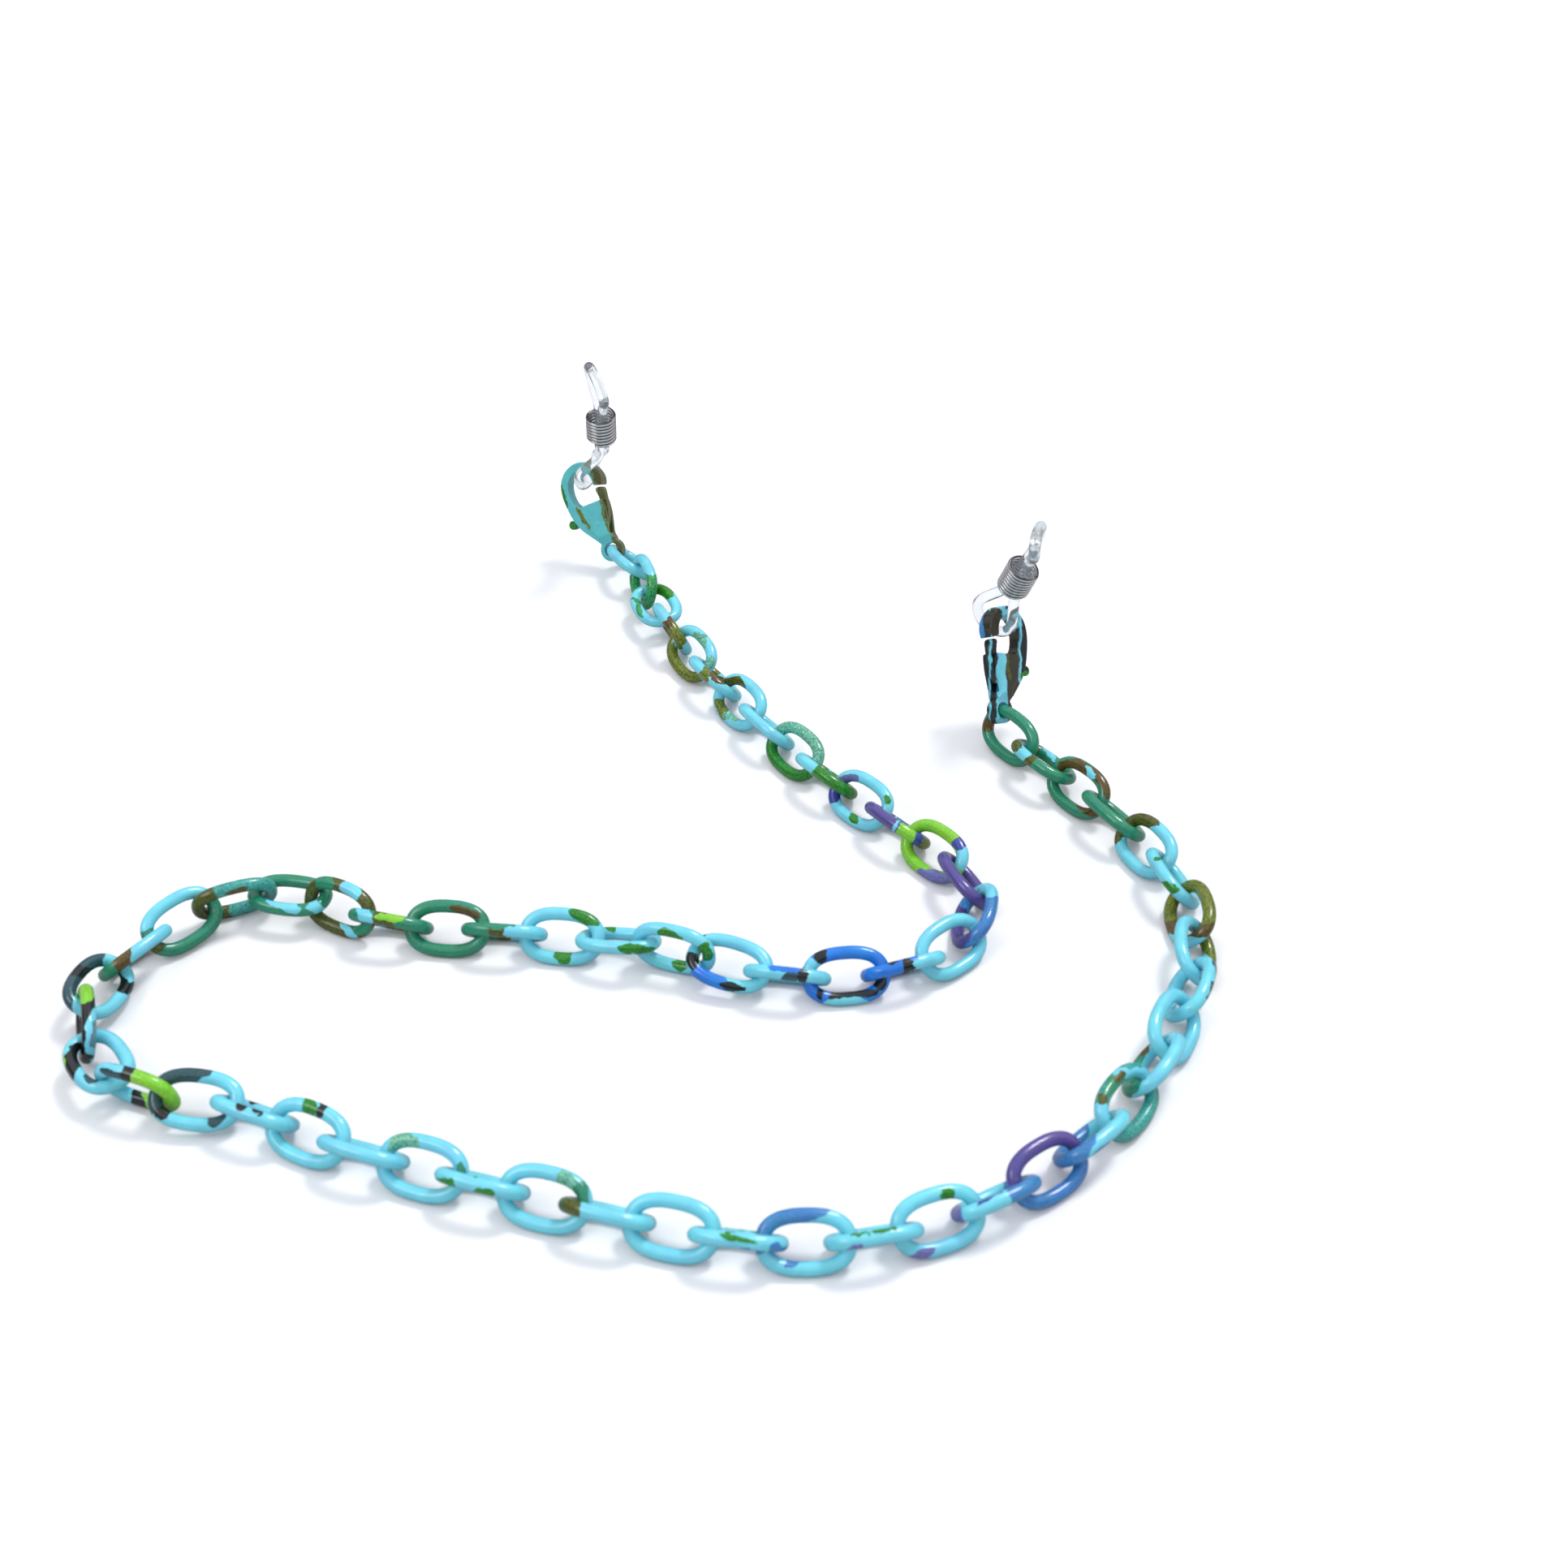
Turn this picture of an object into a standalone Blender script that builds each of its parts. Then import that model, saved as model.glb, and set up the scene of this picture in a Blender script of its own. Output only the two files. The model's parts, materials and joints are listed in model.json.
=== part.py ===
"""Eyeglass chain: 63 enamelled links, two lobster clasps and two silicone temple loops.

The chain lies on a table in a wide S. Both clasps lean up from it, and the loops stand over them
as they do round the arms of a pair of glasses. Lengths are metres and +Z is up.
"""
import bpy
import bmesh
from math import atan2, cos, pi, radians, sin
from mathutils import Matrix, Vector

MM = 0.001

# Chain links
LINKS = 63
PITCH = 8.3 * MM
WIRE_R = 0.95 * MM
LINK_GAP = 0.32 * MM
HALF_LENGTH = (PITCH + 2 * WIRE_R + LINK_GAP) / 2
HALF_WIDTH = 3.2 * MM
SQUARENESS = 2.5
LINK_STEPS = 14
GROUP = 4
PAIR_OVERLAP = 0.3 * MM
ROOT_LINK = 32
LINK_TILT = radians(45)
# The links' tilt turns by a quarter between each pair of link numbers, up and down in turn.
TILT_DRIFTS = ((19, 23), (26, 30), (31, 37))
# At each clasp the tilt settles from the clasp's own angle over this many links.
SETTLE_LINKS = 4

# Where the chain lies on the table, from one clasp to the other
LAY_PATH = (
    (-29.6, 339.2), (-26, 330.5), (-23, 321), (-16, 305), (3, 274.5), (20.5, 253), (28, 241.5),
    (24, 228), (3.5, 222), (-25.5, 230), (-58.5, 234), (-71.5, 240), (-84, 236.5), (-95.5, 218.5),
    (-87.5, 200.5), (-70.5, 197), (-57.5, 190.5), (-29.5, 181), (-2.5, 174), (19.5, 177.5),
    (40.5, 192.5), (54.6, 215.8), (58.8, 234.6), (54, 253), (38, 277.2),
)
LAY_CENTRE = (-18.4, 261.0)
PATH_STEPS = 24

# Clasp, in its own frame: x towards the gate, y through the thickness, z from eye to hook
BODY_THICK = 3.4 * MM
EYE_R = 2.1 * MM
EYE_HOLE_R = 1.3 * MM
# Half sections, y and z, of what is cut away on each side to thin the eye and the hook
EYE_RELIEF = ((0.95, -4), (0.95, 1.5), (2, 3.4), (4, 3.4), (4, -4))
HOOK_RELIEF = ((1.45, 9.6), (1.45, 20), (4, 20), (4, 9.2))
BODY_BEVEL = 0.5 * MM
HOOK_OUTSIDE = (
    (2.6, 11.65), (2.95, 13.3), (2.2, 15.3), (0.5, 16.75), (-1.4, 17.0), (-3.5, 16.2),
    (-5.0, 14.4), (-5.5, 12.0), (-5.3, 9.2), (-4.9, 7.2), (-4.1, 5.3), (-2.8, 3.5), (-1.75, 2.2),
)
GATE_SIDE = ((1.3, 2.0), (0.95, 3.0), (1.3, 4.6), (1.75, 6.5), (1.95, 8.4), (1.9, 9.2))
HOOK_INSIDE = (
    (-2.9, 9.2), (-3.75, 10.2), (-4.0, 12.0), (-3.6, 13.9), (-2.5, 15.1), (-1.1, 15.5),
    (0.2, 15.0), (0.95, 13.7), (1.0, 12.1),
)
SLOT_WIDE = 1.7 * MM
SLOT = ((4, 3), (-0.5, 3), (-2.5, 3.9), (-7, 3.9), (-7, 7.7), (-3.4, 7.7), (-3.4, 10), (4, 10))
PIVOT = (-0.6 * MM, 5.2 * MM)
PIN_R = 0.45 * MM
PIN_HOLE_R = 0.6 * MM
PIN_LONG = 3.2 * MM
LEVER_THICK = 1.2 * MM
LEVER_BEVEL = 0.15 * MM
LEVER_OUTSIDE = (
    (0.8, 4.4), (1.45, 5.6), (1.95, 7.2), (2.3, 9.3), (2.35, 11.2), (0.95, 11.35), (1.05, 9.6),
    (0.75, 8.1), (0.1, 7.35), (-1.5, 7.3), (-4.85, 7.2),
)
LEVER_INSIDE = ((-4.95, 6.3), (-2.4, 6.1), (-1.6, 5.2), (-1.0, 4.3), (0.0, 4.0))
KNOB_CENTRE = (-5.6, 6.75)
KNOB_R = 0.8
LEAF = ((-0.7, 3.3), (-0.7, 3.5), (-2.4, 4.3), (-3.6, 4.3), (-3.6, 4.1), (-2.45, 4.1))
LEAF_WIDE = 1.0 * MM
HOOK_SEAT = (0.55 * MM, 15.65 * MM)
HOOK_SEAT_ANGLE = radians(53)

# Silicone loop, from the clasp's hook at s = 0 up to the temple eye
CORD_R = 0.9 * MM
LOWER_EYE_R = 3.3 * MM
WAIST_HALF = 1.0 * MM
WAIST_START = 5.2 * MM
WAIST_END = 14.2 * MM
UPPER_EYE_R = 3.1 * MM
UPPER_EYE_S = 18.8 * MM
LOOP_TOP = 22.6 * MM
LOOP_STEPS = 8

# Coil slider
COIL_WIRE_R = 0.3 * MM
COIL_R = 2.42 * MM
COIL_TURNS = 7.5
COIL_PITCH = 0.67 * MM
COIL_STEPS = 10

ENAMEL = {
    "sky": (0.16, 0.62, 0.76), "green": (0.04, 0.28, 0.05), "teal": (0.05, 0.30, 0.20),
    "olive": (0.16, 0.13, 0.02), "purple": (0.13, 0.07, 0.33), "royal": (0.02, 0.19, 0.58),
    "slate": (0.04, 0.10, 0.12), "lime": (0.30, 0.65, 0.04),
}
# Enamel of each stretch of chain, by the number of its first link
STRETCHES = (
    (1, "sky"), (3, "green"), (5, "olive"), (7, "sky"), (9, "green"), (11, "sky"), (12, "purple"),
    (13, "lime"), (14, "purple"), (16, "sky"), (17, "royal"), (19, "sky"), (24, "teal"),
    (31, "slate"), (35, "sky"), (50, "purple"), (52, "sky"), (56, "olive"), (58, "sky"), (60, "teal"),
)


class Clasp:
    """How one clasp and its loop stand at their end of the chain."""

    def __init__(self, side, lean, turn, rise, loop_lean, bend, twist, coil_along):
        self.side = side
        self.lean = Vector(lean).normalized()
        self.turn = radians(turn)
        self.rise = rise * MM
        self.loop_lean = Vector(loop_lean).normalized()
        self.bend_low, self.bend_high = bend
        self.twist = radians(twist)
        self.coil_along = coil_along * MM


LEFT = Clasp("left", (-0.33, 0.53, 0.78), 18, 0.1, (0.03, -0.2, 0.98), (3.2, -1.6), 48, 10.6)
RIGHT = Clasp("right", (-0.02, 0.64, 0.76), 140, 0.1, (0.27, -0.34, 0.9), (-1.6, 4.0), -66, 8.8)
FACING = Vector((0, -0.87, 0.49))


# ---------------------------------------------------------------- scene helpers

def clear_scene():
    for item in list(bpy.data.objects):
        bpy.data.objects.remove(item, do_unlink=True)


def new_collection(name):
    collection = bpy.data.collections.new(name)
    bpy.context.scene.collection.children.link(collection)
    return collection


def new_material(name, colour, roughness, metallic=0.0, transmission=0.0):
    material = bpy.data.materials.new(name)
    material.use_nodes = True
    shader = material.node_tree.nodes["Principled BSDF"]
    shader.inputs["Base Color"].default_value = (*colour, 1)
    shader.inputs["Roughness"].default_value = roughness
    shader.inputs["Metallic"].default_value = metallic
    shader.inputs["Transmission Weight"].default_value = transmission
    material.diffuse_color = (*colour, 1)
    return material


def add_part(name, mesh, material, parent, world):
    mesh.name = name
    mesh.materials.clear()
    mesh.materials.append(material)
    part = bpy.data.objects.new(name, mesh)
    PARTS.objects.link(part)
    place(part, parent, world)
    return part


def place(item, parent, world):
    """Puts an object at its world matrix under a parent axis, which may be None."""
    WORLD[item.name] = world
    if parent is None:
        item.matrix_basis = world
    else:
        item.parent = parent
        item.matrix_basis = WORLD[parent.name].inverted() @ world


def add_axis(body, parent, point, direction):
    """An empty on a joint's axis, with its Z along the axis."""
    empty = bpy.data.objects.new("axis_" + body, None)
    empty.empty_display_size = PITCH
    PARTS.objects.link(empty)
    turn = direction.to_track_quat("Z", "Y").to_matrix().to_4x4()
    place(empty, parent, Matrix.Translation(point) @ turn)
    return empty


def add_cutter(name, mesh, owner, operation="DIFFERENCE"):
    """A Boolean operand in the owner's own frame, with its modifier on the owner."""
    cutter = bpy.data.objects.new(name, mesh)
    CUTTERS.objects.link(cutter)
    place(cutter, owner, WORLD[owner.name])
    cutter.hide_render = True
    cutter.display_type = "WIRE"
    boolean = owner.modifiers.new(name, "BOOLEAN")
    boolean.operation = operation
    boolean.solver = "EXACT"
    boolean.object = cutter


# ---------------------------------------------------------------- shape helpers

def smooth_curve(points, steps):
    """Catmull-Rom curve through the points."""
    ends = [2 * points[0] - points[1], *points, 2 * points[-1] - points[-2]]
    curve = []
    for p0, p1, p2, p3 in zip(ends, ends[1:], ends[2:], ends[3:]):
        for step in range(steps):
            t = step / steps
            curve.append(0.5 * (2 * p1 + (p2 - p0) * t + (2 * p0 - 5 * p1 + 4 * p2 - p3) * t ** 2
                                + (3 * p1 - p0 - 3 * p2 + p3) * t ** 3))
    return curve + [points[-1]]


def outline(points, steps=1):
    """An open run of outline corners in millimetres, smoothed when steps is over 1."""
    run = [Vector((x, z)) * MM for x, z in points]
    return smooth_curve(run, steps) if steps > 1 else run


def arc(centre, radius, start, end, steps):
    turns = [start + (end - start) * i / steps for i in range(steps + 1)]
    return [Vector((centre[0] + radius * cos(a), centre[1] + radius * sin(a))) for a in turns]


def prism(corners, thick):
    """A flat plate in the XZ plane, centred on y = 0."""
    work = bmesh.new()
    face = work.faces.new([work.verts.new((p.x, -thick / 2, p.y)) for p in corners])
    grown = bmesh.ops.extrude_face_region(work, geom=[face])
    moved = [item for item in grown["geom"] if isinstance(item, bmesh.types.BMVert)]
    bmesh.ops.translate(work, vec=(0, thick, 0), verts=moved)
    return finish_mesh(work)


def finish_mesh(work):
    bmesh.ops.recalc_face_normals(work, faces=work.faces)
    mesh = bpy.data.meshes.new("shape")
    work.to_mesh(mesh)
    work.free()
    return mesh


def wire_mesh(points, radius, closed, sides_level):
    """A round wire along the points."""
    data = bpy.data.curves.new("wire", "CURVE")
    data.dimensions = "3D"
    data.bevel_depth = radius
    data.bevel_resolution = sides_level
    data.use_fill_caps = not closed
    spline = data.splines.new("POLY")
    spline.points.add(len(points) - 1)
    for slot, point in zip(spline.points, points):
        slot.co = (*point, 1)
        slot.tilt = pi / 6
    spline.use_cyclic_u = closed
    holder = bpy.data.objects.new("wire", data)
    mesh = bpy.data.meshes.new_from_object(holder)
    bpy.data.objects.remove(holder)
    work = bmesh.new()
    work.from_mesh(mesh)
    bmesh.ops.remove_doubles(work, verts=work.verts, dist=MM / 1000)
    for face in work.faces:
        face.smooth = True
    return finish_mesh(work)


def rod_mesh(radius, length, centre, segments):
    """A cylinder along Y."""
    work = bmesh.new()
    turn = Matrix.Translation((centre[0], 0, centre[1])) @ Matrix.Rotation(pi / 2, 4, "X")
    bmesh.ops.create_cone(work, cap_ends=True, segments=segments, radius1=radius, radius2=radius,
                          depth=length, matrix=turn)
    return finish_mesh(work)


def add_bevel(part, width):
    bevel = part.modifiers.new("bevel", "BEVEL")
    bevel.width = width
    bevel.segments = 1
    bevel.limit_method = "ANGLE"
    bevel.angle_limit = radians(60)


# ---------------------------------------------------------------- where the chain lies

def contact_points():
    """The points where neighbouring links meet, one pitch apart along the lay path."""
    centre = Vector(LAY_CENTRE)
    curve = smooth_curve([(Vector(p) - centre) * MM for p in LAY_PATH], PATH_STEPS)
    curve.append(curve[-1] + (curve[-1] - curve[-2]).normalized() * 4 * PITCH)
    points = [curve[0]]
    index = 0
    for _ in range(LINKS):
        here = points[-1]
        while (curve[index + 1] - here).length < PITCH:
            index += 1
        near, far = 0.0, 1.0
        for _ in range(30):
            middle = (near + far) / 2
            beyond = (curve[index].lerp(curve[index + 1], middle) - here).length > PITCH
            near, far = (near, middle) if beyond else (middle, far)
        points.append(curve[index].lerp(curve[index + 1], near))
    return points


def link_tilt(number):
    """How far a link is tilted about its length: 45 degrees one way, then the other."""
    tilt = LINK_TILT if number % 2 else -LINK_TILT
    for order, (start, end) in enumerate(TILT_DRIFTS):
        part = min(max((number - start) / (end - start), 0), 1)
        tilt += (pi / 2 if order % 2 == 0 else -pi / 2) * part
    return tilt


def link_height(tilt):
    return HALF_WIDTH * abs(sin(tilt)) + WIRE_R


class Link:
    """A link's centre, its long axis u, and its wide axis w, tilted about u from level."""

    def __init__(self, start, end, tilt):
        self.centre = (start + end) / 2
        self.u = (end - start).normalized()
        self.side = Vector((0, 0, 1)).cross(self.u).normalized()
        self.up = self.u.cross(self.side)
        self.w = cos(tilt) * self.side + sin(tilt) * self.up

    def matrix(self):
        turn = Matrix((self.u, self.w, self.u.cross(self.w))).transposed().to_4x4()
        return Matrix.Translation(self.centre) @ turn

    def bow(self, way):
        """The wire's centre at the end of the link that points along way * u."""
        return self.centre + way * HALF_LENGTH * self.u


def settled_tilts(flat):
    """Every link's tilt, with the links by each clasp turned towards the clasp's eye."""
    tilts = {n: link_tilt(n) for n in range(1, LINKS + 1)}
    for clasp, end, way in ((LEFT, 1, -1), (RIGHT, LINKS, 1)):
        level = Link(flat[end - 1].to_3d(), flat[end].to_3d(), 0)
        through = through_eye(clasp, way * level.u)
        turn = atan2(through.dot(level.up), through.dot(level.side)) - tilts[end]
        turn = (turn + pi / 2) % pi - pi / 2
        for step in range(SETTLE_LINKS):
            tilts[end - way * step] += turn * (1 - step / SETTLE_LINKS)
    return tilts


def lay_links():
    flat = contact_points()
    tilts = settled_tilts(flat)
    heights = [link_height(tilts[n]) for n in range(1, LINKS + 1)]
    between = [max(a, b) for a, b in zip(heights, heights[1:])]
    levels = [heights[0] + LEFT.rise, *between, heights[-1] + RIGHT.rise]
    points = [Vector((p.x, p.y, z)) for p, z in zip(flat, levels)]
    links = {n: Link(points[n - 1], points[n], tilts[n]) for n in range(1, LINKS + 1)}
    for number in range(GROUP, LINKS, GROUP):
        first, second = links[number - 1], links[number]
        shift = (LINK_GAP + PAIR_OVERLAP) / 2
        along = (second.centre - first.centre).normalized()
        first.centre -= along * shift
        second.centre += along * shift
    return links


def node_of(number):
    """The links that share a node with this one."""
    last = -(-number // GROUP) * GROUP
    if last <= LINKS and number >= last - 1:
        return (last - 1, last)
    return (number,)


def node_name(numbers):
    kind = "links" if len(numbers) > 1 else "link"
    return "_".join([kind] + [f"{n:02d}" for n in numbers])


def link_mesh():
    points = []
    for step in range(LINK_STEPS):
        angle = 2 * pi * step / LINK_STEPS
        points.append((superellipse(cos(angle), HALF_LENGTH), superellipse(sin(angle), HALF_WIDTH), 0))
    return wire_mesh(points, WIRE_R, True, 1)


def superellipse(value, half):
    return half * abs(value) ** (2 / SQUARENESS) * (1 if value >= 0 else -1)


def stretch_colour(number):
    return [colour for first, colour in STRETCHES if first <= number][-1]


def add_link_node(numbers, links, parent):
    first = links[numbers[0]]
    world = first.matrix()
    colour = stretch_colour(numbers[0])
    name = node_name(numbers)
    material = new_material(name, ENAMEL[colour], 0.25)
    part = add_part(name, link_mesh(), material, parent, world)
    for number in numbers[1:]:
        mesh = link_mesh()
        mesh.transform(world.inverted() @ links[number].matrix())
        add_cutter(f"{name}_second", mesh, part, "UNION")
    return part


# ---------------------------------------------------------------- clasps

def clasp_frame(clasp):
    """The clasp's gate side, thickness and length directions, before it is placed."""
    z = clasp.lean
    front = (FACING - FACING.dot(z) * z).normalized()
    x = cos(clasp.turn) * z.cross(front) + sin(clasp.turn) * front
    return Matrix((x, z.cross(x), z)).transposed().to_4x4()


def through_eye(clasp, outward):
    """The wire's direction through the clasp's eye, running back into the link."""
    through = clasp_frame(clasp).col[1].to_3d()
    return -through if through.dot(outward) > 0 else through


def seat_on_link(clasp, link, way):
    """The point of the end link's bow whose wire runs along the clasp's eye."""
    outward = way * link.u
    through = through_eye(clasp, outward)
    across = link.w if through.dot(link.w) > 0 else -link.w
    slope = abs(through.dot(across) / through.dot(outward))
    ratio = (slope * (HALF_LENGTH / HALF_WIDTH) ** SQUARENESS) ** (1 / (SQUARENESS - 1))
    y = HALF_WIDTH / ((ratio * HALF_WIDTH / HALF_LENGTH) ** SQUARENESS + 1) ** (1 / SQUARENESS)
    return link.centre + outward * ratio * y + across * y


def body_corners():
    neck_left = atan2(1.5, -1.45)
    neck_right = atan2(1.6, 1.35)
    eye = arc((0, 0), EYE_R, neck_left, neck_right + 2 * pi, 11)
    return outline(HOOK_OUTSIDE, 2) + eye + outline(GATE_SIDE) + outline(HOOK_INSIDE, 2)


def lever_corners():
    centre = Vector(KNOB_CENTRE) * MM
    knob = arc(centre, KNOB_R * MM, radians(40), radians(320), 7)
    return outline(LEVER_OUTSIDE) + knob + outline(LEVER_INSIDE)


def relief_mesh(section):
    """Two blocks that thin the clasp from both sides."""
    work = bmesh.new()
    for way in (-1, 1):
        side = [Vector((way * y, z)) * MM for y, z in section]
        block = prism(side if way > 0 else side[::-1], 4 * BODY_THICK)
        block.transform(Matrix.Rotation(pi / 2, 4, "Z"))
        work.from_mesh(block)
        bpy.data.meshes.remove(block)
    return finish_mesh(work)


def add_clasp(clasp, link, way, parent):
    """Body, lever, pin, spring, loop and coil at one end of the chain."""
    frame = clasp_frame(clasp)
    eye = seat_on_link(clasp, link, way)
    side = clasp.side
    world = Matrix.Translation(eye) @ frame
    x, y, z = (frame.col[i].to_3d() for i in range(3))
    enamel = ENAMEL["sky"] if side == "left" else ENAMEL["slate"]
    axis = add_axis(side + "_clasp", parent, eye, y)
    body = add_part(side + "_clasp_body", prism(body_corners(), BODY_THICK),
                    new_material(side + "_clasp_body", enamel, 0.3), axis, world)
    add_bevel(body, BODY_BEVEL)
    through = 3 * BODY_THICK
    add_cutter(side + "_eye_relief", relief_mesh(EYE_RELIEF), body)
    add_cutter(side + "_hook_relief", relief_mesh(HOOK_RELIEF), body)
    add_cutter(side + "_eye_hole", rod_mesh(EYE_HOLE_R, through, (0, 0), 14), body)
    add_cutter(side + "_pin_hole", rod_mesh(PIN_HOLE_R, through, PIVOT, 10), body)
    add_cutter(side + "_lever_slot", prism(outline(SLOT), SLOT_WIDE), body)
    add_part(side + "_clasp_pin", rod_mesh(PIN_R, PIN_LONG, PIVOT, 10),
             new_material(side + "_clasp_pin", (0.5, 0.5, 0.5), 0.3, 1.0), axis, world)
    add_part(side + "_clasp_spring", prism(outline(LEAF), LEAF_WIDE),
             new_material(side + "_clasp_spring", (0.5, 0.5, 0.5), 0.3, 1.0), axis, world)
    pivot = world @ Vector((PIVOT[0], 0, PIVOT[1]))
    lever_axis = add_axis(side + "_lever", axis, pivot, -y)
    lever = add_part(side + "_clasp_lever", prism(lever_corners(), LEVER_THICK),
                     new_material(side + "_clasp_lever", enamel, 0.3), lever_axis, world)
    add_bevel(lever, LEVER_BEVEL)
    add_cutter(side + "_lever_hole", rod_mesh(PIN_HOLE_R, through, PIVOT, 10), lever)
    add_loop(clasp, axis, world)


def loop_point(clasp, s, half):
    """A point of the loop's cord, half across from its length axis at station s."""
    turn = clasp.twist * ease(min(max((s - WAIST_START) / (WAIST_END - WAIST_START), 0), 1))
    low = ease(min(max(s / WAIST_START, 0), 1))
    high = max(s - WAIST_END, 0) / (LOOP_TOP - WAIST_END)
    bend = (clasp.bend_low * low + clasp.bend_high * high ** 2) * MM
    return Vector((half * cos(turn), half * sin(turn) + bend, s))


def ease(t):
    return t * t * (3 - 2 * t)


def loop_points(clasp):
    """The closed cord: round the hook, up through the waist, round the temple eye and back."""
    one_side = []
    for step in range(LOOP_STEPS // 2 + 1):
        angle = pi / 2 * step / (LOOP_STEPS // 2)
        one_side.append((-LOWER_EYE_R * cos(angle), LOWER_EYE_R * sin(angle)))
    for step in range(1, LOOP_STEPS // 2 + 1):
        t = step / (LOOP_STEPS // 2)
        one_side.append((WAIST_START * t, LOWER_EYE_R + (WAIST_HALF - LOWER_EYE_R) * ease(t)))
    for step in range(1, LOOP_STEPS // 2 + 1):
        one_side.append((WAIST_START + (WAIST_END - WAIST_START) * 2 * step / LOOP_STEPS, WAIST_HALF))
    for step in range(1, LOOP_STEPS // 2 + 1):
        t = step / (LOOP_STEPS // 2)
        one_side.append((WAIST_END + (UPPER_EYE_S - WAIST_END) * t,
                         WAIST_HALF + (UPPER_EYE_R - WAIST_HALF) * ease(t)))
    for step in range(1, LOOP_STEPS // 2):
        angle = pi / 2 * step / (LOOP_STEPS // 2)
        one_side.append((UPPER_EYE_S + (LOOP_TOP - UPPER_EYE_S) * sin(angle), UPPER_EYE_R * cos(angle)))
    there = [loop_point(clasp, s, half) for s, half in one_side]
    back = [loop_point(clasp, s, -half) for s, half in reversed(one_side[1:])]
    return there + [loop_point(clasp, LOOP_TOP, 0)] + back


def add_loop(clasp, parent, clasp_world):
    side = clasp.side
    turn = HOOK_SEAT_ANGLE
    seat = clasp_world @ Vector((HOOK_SEAT[0], 0, HOOK_SEAT[1]))
    along_hook = (clasp_world.to_3x3() @ Vector((sin(turn), 0, -cos(turn)))).normalized()
    lean = clasp.loop_lean
    z = (lean - lean.dot(along_hook) * along_hook).normalized()
    across = along_hook.cross(z)
    frame = Matrix((across, along_hook, z)).transposed().to_4x4()
    world = Matrix.Translation(seat) @ frame
    silicone = new_material(side + "_silicone_loop", (0.85, 0.9, 0.92), 0.1, 0.0, 0.9)
    axis = add_axis(side + "_loop", parent, seat, along_hook)
    add_part(side + "_silicone_loop", wire_mesh(loop_points(clasp), CORD_R, True, 1),
             silicone, axis, world)
    coil_world = world @ Matrix.Translation((0, clasp.bend_low * MM, clasp.coil_along))
    coil_axis = add_axis(side + "_coil", axis, coil_world.translation, z)
    steel = new_material(side + "_coil_slider", (0.8, 0.8, 0.8), 0.12, 1.0)
    add_part(side + "_coil_slider", coil_mesh(), steel, coil_axis, coil_world)


def coil_mesh():
    steps = int(COIL_TURNS * COIL_STEPS)
    points = []
    for step in range(steps + 1):
        turns = step / COIL_STEPS
        angle = 2 * pi * turns
        height = (turns - COIL_TURNS / 2) * COIL_PITCH
        points.append((COIL_R * cos(angle), COIL_R * sin(angle), height))
    return wire_mesh(points, COIL_WIRE_R, False, 2)


# ---------------------------------------------------------------- assembly

def add_chain(links):
    """Adds the links outward from the root both ways, and returns each end link's axis."""
    root = node_of(ROOT_LINK)
    add_link_node(root, links, None)
    ends = []
    for way, first, last in ((-1, root[0] - 1, 1), (1, root[-1] + 1, LINKS)):
        parent = None
        turns = {0: 1, 1: 1}
        number = first
        while (last - number) * way >= 0:
            numbers = node_of(number)
            held_by = links[number - way]
            family = number % 2
            turns[family] *= -1
            direction = held_by.w * turns[family]
            parent = add_axis(node_name(numbers), parent, held_by.bow(way), direction)
            add_link_node(numbers, links, parent)
            number += way * len(numbers)
        ends.append(parent)
    return ends


clear_scene()
PARTS = new_collection("eyeglass_chain")
CUTTERS = new_collection("cutters")
WORLD = {}


def build():
    links = lay_links()
    left_end, right_end = add_chain(links)
    add_clasp(LEFT, links[1], -1, left_end)
    add_clasp(RIGHT, links[LINKS], 1, right_end)


build()
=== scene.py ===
"""Looks for the eyeglass chain: fine enamelled links, cast clasps, silicone loops and wire coils.

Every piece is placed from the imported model: a link from its node's own vertices, a clasp and its
loop from their joints. Local shapes are in millimetres and are scaled to metres when placed.
"""
import json
import math

import bmesh
import bpy
import numpy as np
from mathutils import Matrix, Vector

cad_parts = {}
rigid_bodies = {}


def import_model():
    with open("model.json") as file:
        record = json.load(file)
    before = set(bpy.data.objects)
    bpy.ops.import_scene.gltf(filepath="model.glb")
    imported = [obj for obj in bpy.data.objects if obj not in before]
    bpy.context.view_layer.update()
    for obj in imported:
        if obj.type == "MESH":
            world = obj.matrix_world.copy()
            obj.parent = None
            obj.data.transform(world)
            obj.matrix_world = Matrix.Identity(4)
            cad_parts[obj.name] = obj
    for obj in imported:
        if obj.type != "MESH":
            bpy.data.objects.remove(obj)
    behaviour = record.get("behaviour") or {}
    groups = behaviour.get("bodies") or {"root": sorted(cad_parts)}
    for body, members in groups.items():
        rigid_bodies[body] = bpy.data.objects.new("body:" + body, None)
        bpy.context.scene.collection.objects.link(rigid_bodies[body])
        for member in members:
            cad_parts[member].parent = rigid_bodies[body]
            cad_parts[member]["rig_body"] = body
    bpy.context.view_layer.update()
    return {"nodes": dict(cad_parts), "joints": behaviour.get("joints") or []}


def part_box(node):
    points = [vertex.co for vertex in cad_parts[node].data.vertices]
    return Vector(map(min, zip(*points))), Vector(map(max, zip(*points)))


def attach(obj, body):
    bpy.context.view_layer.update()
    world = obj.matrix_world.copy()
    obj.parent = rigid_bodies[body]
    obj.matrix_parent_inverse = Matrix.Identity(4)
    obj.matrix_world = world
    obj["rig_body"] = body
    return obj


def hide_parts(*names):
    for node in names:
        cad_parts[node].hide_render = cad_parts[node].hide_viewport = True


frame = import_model()
JOINTS = {joint["child"]: joint for joint in frame["joints"]}
MM = 0.001

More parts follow.
